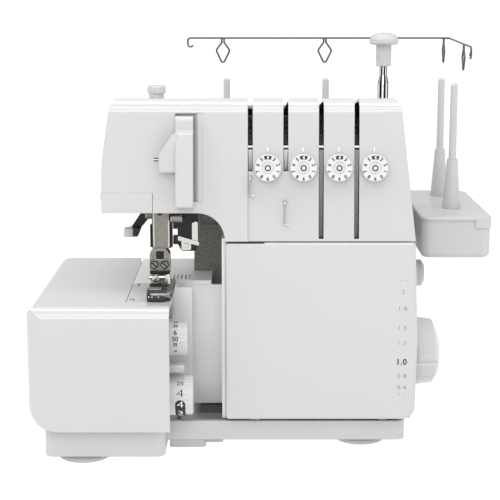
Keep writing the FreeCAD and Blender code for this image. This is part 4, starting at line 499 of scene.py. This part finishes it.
def thumbwheel_marks():
    """Figures on the stitch width wheel; large figures and a black band on the selector wheel."""
    rows = (("6", 3.6, 36), ("50", 3.2, 15), ("35", 2.4, -4), ("18", 1.7, -31), ("30", 2.4, 62), ("40", 2.4, 88))
    marks = []
    for text, tall, turn in rows:
        marks.append(wrap(figure(text, tall, 0.07), WIDTH_AXIS, WIDTH_RADIUS, WIDTH_FIGURE_X, turn))
    keep(join(marks), "width_figures", ink, "width_dial")
    marks = [wrap(figure("4", 5.6, -0.14, wide=1.5), SELECT_AXIS, SELECT_RADIUS, SELECT_FIGURE_X, 21.6),
             wrap(figure("25", 3.1, -0.02, wide=1.25), SELECT_AXIS, SELECT_RADIUS, SELECT_FIGURE_X, 50.0)]
    keep(join(marks), "selector_figures", ink, "selector_dial")
    band = block((-BAND_HALF, -BAND_LONG, -0.1), (BAND_HALF, 0.0, 0.1))
    pick(band, lambda middle, run: abs(run.z) > 0.9 and middle.y > -1, edges=True)
    bevel(BAND_HALF - 0.1, 10)
    close(band)
    band = wrap(band, SELECT_AXIS, SELECT_RADIUS, SELECT_BAND_X, 2.3)
    keep(band, "selector_band", ink, "selector_dial")
    marks = []
    for text, turn in (("4", -10.0), ("3", -42.0), ("3", -72.0)):
        piece = figure(text, 5.0, -0.07, wide=1.45)
        piece.location = (0, 0, INK_THICK * MM)
        only(piece)
        bpy.ops.object.transform_apply(location=True)
        marks.append(wrap(piece, SELECT_AXIS, SELECT_RADIUS, SELECT_BAND_X, turn))
    keep(join(marks), "selector_band_figures", white_ink, "selector_dial")


TICK_COUNT = 5
TICK_PITCH = 2.9
TICK_TOP = 114.32


def bed_marks():
    """Ruler ticks on the ledge, and the two-bar thread mark on the head."""
    ticks = []
    for i in range(TICK_COUNT):
        tick = block((-71.6 + TICK_PITCH * i, -31.0, 114.1), (-70.8 + TICK_PITCH * i, -17.0, TICK_TOP))
        pick(tick, lambda middle, run: middle.z > TICK_TOP - 0.02, edges=True)
        bevel(0.08, 1)
        ticks.append(close(tick))
    keep(join(ticks), "ledge_ticks", grey_ink, "base")
    for name, z, finish in (("mark_upper", 0.75, ink), ("mark_middle", 0.0, white_ink), ("mark_lower", -0.75, ink)):
        bar = block((-2.1, z - 0.42, -0.2), (2.1, z + 0.42, 0.15))
        pick(bar, lambda middle, run: middle.z > 0.14, edges=True)
        bevel(0.08, 1)
        close(bar)
        bar.matrix_world = on_face(-79.3, 209.2)
        keep(bar, "thread_" + name, finish, "base")


# Thread slots and take-up

SLOT_HALF = 1.55
STRIP_TOP = 216.2
STRIP_ENDS = (201.4, 201.4, 154.7, 154.7)
STRIP_SINK = 5.0
DISC_EDGE_Z = 218.0


def slot_linings():
    """Guide strip that sinks towards its foot and the bright edge of the tension discs, in each thread slot."""
    for i, low in enumerate(STRIP_ENDS):
        half = (STRIP_TOP - low) / 2
        strip = block((-SLOT_HALF, -half, -2.6), (SLOT_HALF, half, -1.2))
        pick(strip, lambda middle, run: middle.z > -1.3 and abs(run.y) > 0.9, edges=True)
        bevel(0.4)
        pick(strip, lambda middle, normal: normal.y < -0.9)
        bpy.ops.transform.translate(value=(0, 0, -STRIP_SINK * MM))
        close(strip)
        strip.matrix_world = on_face(SLOT_X[i], low + half)
        finish, slot = (dial_abs, "white_plastic") if i < 2 else (strip_abs, "grey_plastic")
        keep(strip, f"slot_strip_{i + 1}", finish, "base")
        edge = block((-1.6, -0.9, -2.6), (1.6, 0.9, -0.9))
        pick(edge, lambda middle, run: middle.z > -1.0 and abs(run.x) > 0.9, edges=True)
        bevel(0.8, 4)
        close(edge)
        edge.matrix_world = on_face(SLOT_X[i], DISC_EDGE_Z)
        keep(edge, f"slot_disc_edge_{i + 1}", bright_nickel, "base")


COVE_X = (-53.35, -47.4)
COVE_Z = (179.9, 241.1)


def take_up_cove():
    """Closing strip beside the take-up cover, hollowed along the cover and running out into the face."""
    half = (COVE_X[1] - COVE_X[0]) / 2
    tall = (COVE_Z[1] - COVE_Z[0]) / 2
    cove = block((-half, -tall, -4.8), (half, tall, 0.02))
    pick(cove, lambda middle, run: middle.x < -half + 0.1 and middle.z > 0 and abs(run.y) > 0.9, edges=True)
    bpy.ops.mesh.bevel(offset=2.6 * MM, segments=10, profile=0.25, affect="EDGES")
    close(cove)
    cove.matrix_world = on_face(COVE_X[0] + half, COVE_Z[0] + tall)
    keep(cove, "take_up_cove", white_abs, "base")


# Needle and presser details

CLAMP_FRONT = -70.0
SCREW_FRONT = -72.2
SCREW_X = (-82.2, -74.8)
SCREW_Z = 133.8
SCREW_TURN = -42
BAR_LOW = 145.6
BAR_TOP = 178.0
GUIDE_CLEAR = 161.4
EDGE_RADIUS = 1.12
EDGE_Y = -67.37


def front_place(x, y, z):
    """Place of a piece that faces the front upright."""
    return tangent(x, y, z, 0.0)


def clamp_details():
    """Dark rims and slots of the set screws, and the lined window of the needle clamp."""
    rim = begin("torus", (0, 0, 0), (1, 1, 1), major_radius=2.62, minor_radius=0.36, major_segments=36,
                minor_segments=10)
    bpy.ops.transform.resize(value=(1, 1, 0.5))
    close(rim)
    slot = block((-2.7, -0.5, -0.3), (2.7, 0.5, 0.08))
    pick(slot, lambda middle, run: abs(run.z) > 0.9, edges=True)
    bevel(0.3)
    close(slot)
    for i, x in enumerate(SCREW_X):
        keep(twin(rim, front_place(x, SCREW_FRONT, SCREW_Z)), f"screw_rim_{i + 1}", blued_steel, "needle_unit")
        turned = front_place(x, SCREW_FRONT, SCREW_Z) @ Matrix.Rotation(math.radians(SCREW_TURN), 4, "Z")
        keep(twin(slot, turned), f"screw_slot_{i + 1}", blued_steel, "needle_unit")
    discard(rim)
    discard(slot)
    lining = block((-2.75, -2.85, -3.6), (2.75, 2.85, -1.0))
    pick(lining, lambda middle, normal: normal.z > 0.9)
    inset(0.7, 0.5)
    close(lining)
    lining.matrix_world = front_place(-78.2, CLAMP_FRONT, 140.3)
    keep(lining, "clamp_window", blued_steel, "needle_unit")


def bar_details():
    """Dark strips of painted shade along the needle bar's flanks and a dark plate of painted shadow below its clamp;
    bright corners and eye of the needle bar.

    The left flank ends at GUIDE_CLEAR, low enough to stay below the bar's guide when the bar is up.
    """
    # The flank strips and the plate below the clamp are dark pieces standing for shade
    for name, low, high in (("bar_flank_shade_left", (-85.2, -67.6, BAR_LOW), (-84.0, -60.5, GUIDE_CLEAR)),
                            ("bar_flank_shade_right", (-70.4, -67.6, BAR_LOW), (-69.35, -63.6, BAR_TOP)),
                            ("clamp_shadow_plate", (-85.4, -71.6, 126.9), (-71.3, -62.2, 129.1))):
        strip = block(low, high)
        pick(strip, lambda middle, run: True, edges=True)
        bevel(0.22)
        close(strip)
        keep(strip, name, blued_steel, "needle_unit")
    for name, x in (("bar_edge_left", -82.19), ("bar_edge_right", -72.21)):
        wire = begin("cylinder", (x, EDGE_Y, (BAR_LOW + BAR_TOP) / 2), (EDGE_RADIUS, EDGE_RADIUS, BAR_TOP - BAR_LOW),
                     vertices=32, radius=1, depth=1)
        pick(wire, lambda middle, run: abs(run.z) < 0.1, edges=True)
        bevel(0.3)
        close(wire)
        keep(wire, name, bright_nickel, "needle_unit")
    eye = disc(1.9, 0.3)
    pick(eye, lambda middle, normal: normal.z > 0.9)
    inset(0.5, 0.03)
    close(eye)
    eye.matrix_world = front_place(-78.0, -68.27, 170.4)
    keep(eye, "needle_bar_eye", blued_steel, "needle_unit")


POST_HALF = 1.6


def head_nuts():
    """Knurled nuts under the head on both sides of the needle bar, each on its post."""
    for name, centre, radius, long in (("head_nut_left", (-86.6, -54.6, 167.2), 3.6, 4.6),
                                       ("head_nut_right", (-66.2, -71.4, 167.2), 3.4, 7.8)):
        nut = begin("cylinder", centre, (radius, radius, long), turn=(0, 90, 0),
                    vertices=12, radius=1, depth=1)
        pick(nut, lambda middle, normal: abs(normal.x) > 0.9)
        inset(0.7, -0.5)
        pick(nut, lambda middle, run: abs(run.x) > 0.9, edges=True)
        bevel(0.35, 1)
        close(nut)
        keep(nut, name, blasted_steel, "base")
        x, y = centre[:2]
        post = block((x - POST_HALF, y - POST_HALF, 168.0), (x + POST_HALF, y + POST_HALF, 174.5))
        pick(post, lambda middle, run: abs(run.z) > 0.9, edges=True)
        bevel(0.5)
        close(post)
        keep(post, name + "_post", blued_steel, "base")


SHANK_SCREW = (-80.9, -76.4, 124.9)
STUD_X = (-84.2, -82.0, -77.6)


def foot_details():
    """Cross pin, slotted shank screw, finger and dark slot of the presser foot, plate and bright studs of its toe."""
    pin = begin("cylinder", (-78.6, -75.6, 125.6), (1.5, 1.5, 14.0), turn=(0, 90, 0),
                vertices=24, radius=1, depth=1)
    pick(pin, lambda middle, normal: abs(normal.x) > 0.9)
    inset(0.5, -0.6)
    close(pin)
    keep(pin, "foot_pin", bright_nickel, "presser")
    head = disc(2.5, 1.6)
    pick(head, lambda middle, run: middle.z > 1.5 and abs(run.z) < 0.1, edges=True)
    bevel(0.4, 3)
    close(head)
    head.matrix_world = front_place(*SHANK_SCREW)
    keep(head, "shank_screw", bright_nickel, "presser")
    slot = block((-1.9, -0.4, 1.4), (1.9, 0.4, 1.66))
    pick(slot, lambda middle, run: abs(run.z) > 0.9, edges=True)
    bevel(0.25)
    close(slot)
    slot.matrix_world = front_place(*SHANK_SCREW) @ Matrix.Rotation(math.radians(35), 4, "Z")
    keep(slot, "shank_screw_slot", blued_steel, "presser")
    finger = block((-74.2, -78.5, 121.6), (-70.6, -74.5, 127.4))
    pick(finger, lambda middle, normal: normal.z > 0.9)
    inset(0.6, -0.7)
    pick(finger, lambda middle, run: abs(run.z) > 0.6, edges=True)
    bevel(0.4)
    close(finger)
    keep(finger, "foot_finger", bright_nickel, "presser")
    for name, low, high, finish, slot_name in (
            ("toe_plate", (-84.6, -92.5, 120.6), (-76.2, -85.6, 121.2), blasted_steel, "steel"),
            ("foot_slot", (-85.0, -80.2, 116.4), (-76.7, -79.0, 121.9), blued_steel, "dark_steel")):
        strip = block(low, high)
        pick(strip, lambda middle, run: abs(run.z) > 0.9 or middle.z > high[2] - 0.05, edges=True)
        bevel(0.2)
        close(strip)
        keep(strip, name, finish, "presser")
    stud = disc(0.62, 0.7, 16)
    pick(stud, lambda middle, run: middle.z > 0.6 and abs(run.z) < 0.1, edges=True)
    bevel(0.25, 3)
    close(stud)
    for i, x in enumerate(STUD_X):
        keep(twin(stud, front_place(x, -98.2, 116.9)), f"toe_stud_{i + 1}", bright_nickel, "presser")
    discard(stud)


def lifter_tip():
    """Pale grip on the end of the lifter."""
    grip = block((-107.4, -33.4, 146.1), (-100.4, -24.5, 152.4))
    pick(grip, lambda middle, run: True, edges=True)
    bevel(0.9, 3)
    close(grip)
    keep(grip, "lifter_grip", dial_abs, "lifter")


SCREEN_STEPS = ((-71.2, 9.7), (-69.0, 2.7))


def bed_screen():
    """Inner wall beside the thumbwheels, in line with the inner panel, rising in two steps to the right."""
    wall = block((-79.0, -50.0, 28.0), (-56.6, -48.2, 100.0))
    for x, _ in SCREEN_STEPS:
        bpy.ops.mesh.select_all(action="SELECT")
        bpy.ops.mesh.bisect(plane_co=(x * MM, 0, 0), plane_no=(1, 0, 0))
    for x, rise in SCREEN_STEPS:
        pick(wall, lambda middle, normal: normal.z > 0.9 and middle.x > x)
        extrude(0, 0, rise)
    pick(wall, lambda middle, run: abs(run.z) > 0.9 and middle.x < -78, edges=True)
    bevel(0.5)
    close(wall)
    keep(wall, "bed_screen", brightened_inner_abs, "base")


def cover_gap():
    """Black strip of painted shadow in the gap where the looper cover's top edge dips at the left."""
    seal = block((-31.4, -81.62, 151.2), (-4.5, -80.6, 151.78))
    pick(seal, lambda middle, run: middle.x > -5 and middle.z < 151, edges=True)
    bpy.ops.transform.translate(value=(0, 0, 0.45 * MM))
    pick(seal, lambda middle, run: middle.y < -81.6, edges=True)
    bevel(0.05, 1)
    close(seal)
    keep(seal, "cover_gap_shadow", belt_rubber, "front_cover")


def cross_screws():
    """Cross-recess screws: four in the back, two small ones in the needle plate."""
    head = disc(1.0, 0.34, 32)
    pick(head, lambda middle, run: middle.z > 0.33 and abs(run.z) < 0.1, edges=True)
    bevel(0.2, 3)
    close(head)
    cross = []
    for turn in (0, 90):
        bar = begin("cube", (0, 0, 0.3), (1.1, 0.22, 0.12), turn=(0, 0, turn), size=1)
        pick(bar, lambda middle, normal: normal.z > 0.9)
        inset(0.05)
        cross.append(close(bar))
    cross = join(cross)
    back = Matrix.Rotation(math.radians(-90), 4, "X")
    spots = [(x, 57.9, z, 3.3, back) for x in (-22.0, 84.0) for z in (38.0, 114.0)]
    spots += [(-96.6, y, 112.95, 2.0, Matrix.Identity(4)) for y in (-91.5, -44.5)]
    for i, (x, y, z, radius, facing) in enumerate(spots):
        place = Matrix.Translation(Vector((x, y, z)) * MM) @ facing @ Matrix.Scale(radius, 4)
        keep(twin(head, place), f"cross_screw_{i + 1}", bright_nickel, "base")
        turned = place @ Matrix.Rotation(math.radians(20 + 25 * i), 4, "Z")
        keep(twin(cross, turned), f"cross_recess_{i + 1}", blued_steel, "base")
    discard(head)
    discard(cross)


CURL_RADIUS = 2.1
CURL_WIRE = 0.72


def wire_curls():
    """Curled ends of the guide wire, each open where its tip stops short of the wire."""
    for name, centre, turn, across, gap in (("wire_curl_left", (-62.9, 89.0, 282.0), (90, 0, 0), 0, (-25, 175)),
                                            ("wire_curl_right", (150.45, 4.6, 277.0), (0, 90, 0), 1, (-60, -10))):
        curl = begin("torus", centre, (1, 1, 1), turn=turn, major_radius=CURL_RADIUS, minor_radius=CURL_WIRE,
                     major_segments=36, minor_segments=12)
        pick(curl, lambda middle, normal: gap[0] < math.degrees(
            math.atan2(middle.z - centre[2], middle[across] - centre[across])) < gap[1])
        bpy.ops.mesh.delete(type="FACE")
        bpy.ops.mesh.select_all(action="SELECT")
        bpy.ops.mesh.fill_holes(sides=0)
        close(curl)
        keep(curl, name, guide_wire, "thread_tree")


dial_marks()
dial_pointers()
cover_scale()
thumbwheel_marks()
bed_marks()
slot_linings()
take_up_cove()
clamp_details()
bar_details()
head_nuts()
foot_details()
lifter_tip()
bed_screen()
cover_gap()
wire_curls()
cross_screws()


# Studio

FLOOR_SIZE = 160.0
PAPER_GLOW = 0.97
SKY_STRENGTH = 0.72
# Each soft box: name, place, aim, width, height and power
SOFT_BOXES = (("overhead", (-0.1, -0.1, 1.4), (0, 0, 0.15), 1.6, 0.3, 7.5),
              ("key", (-0.3, -1.25, 1.35), (-0.05, -0.05, 0.13), 1.4, 0.5, 6.0),
              ("front", (-0.1, -1.5, 0.75), (-0.05, -0.05, 0.1), 0.9, 0.4, 4.0),
              ("left", (-1.2, -0.5, 1.3), (-0.05, -0.05, 0.13), 0.6, 0.9, 5.0),
              ("right", (1.2, -0.4, 1.3), (0.1, 0.0, 0.15), 0.6, 0.9, 4.0))


def studio():
    """Pale floor, white surroundings and soft boxes."""
    bpy.ops.object.select_all(action="DESELECT")
    bpy.ops.mesh.primitive_plane_add(size=FLOOR_SIZE, location=(0, 0, 0))
    floor = bpy.context.object
    floor.name = "studio_floor"
    paper, shader = new_finish("studio_paper", "#7C7C7C", 0.9)
    shader.inputs["Emission Color"].default_value = (1, 1, 1, 1)
    shader.inputs["Emission Strength"].default_value = PAPER_GLOW
    shader.inputs["Specular IOR Level"].default_value = 0.0
    floor.data.materials.append(paper)
    world = bpy.data.worlds.new("studio_white")
    bpy.context.scene.world = world
    world.use_nodes = True
    sky = world.node_tree.nodes["Background"]
    sky.inputs["Color"].default_value = (1, 1, 1, 1)
    sky.inputs["Strength"].default_value = SKY_STRENGTH
    for name, spot, aim, width, height, power in SOFT_BOXES:
        lamp = bpy.data.lights.new(name, "AREA")
        lamp.shape = "RECTANGLE"
        lamp.size = width
        lamp.size_y = height
        lamp.energy = power
        holder = bpy.data.objects.new(name, lamp)
        holder.location = spot
        holder.rotation_euler = (Vector(aim) - Vector(spot)).to_track_quat("-Z", "Y").to_euler()
        bpy.context.collection.objects.link(holder)
    bpy.context.scene.view_settings.view_transform = "Standard"


SENSOR_MM = 36.0
FOCAL_PIXELS = 1260
PICTURE_PIXELS = 500
CAMERA_PLACE = (-0.0145, -0.943, 0.325)
CAMERA_DIP = 9.66


def camera():
    """Long lens straight on to the front, a little above the machine."""
    lens = bpy.data.cameras.new("front_camera")
    lens.sensor_width = SENSOR_MM
    lens.lens = SENSOR_MM * FOCAL_PIXELS / PICTURE_PIXELS
    lens.shift_y = -0.09
    lens.clip_end = 200.0
    holder = bpy.data.objects.new("front_camera", lens)
    holder.location = CAMERA_PLACE
    holder.rotation_euler = (math.radians(90 - CAMERA_DIP), 0, 0)
    bpy.context.collection.objects.link(holder)
    bpy.context.scene.camera = holder


studio()
camera()
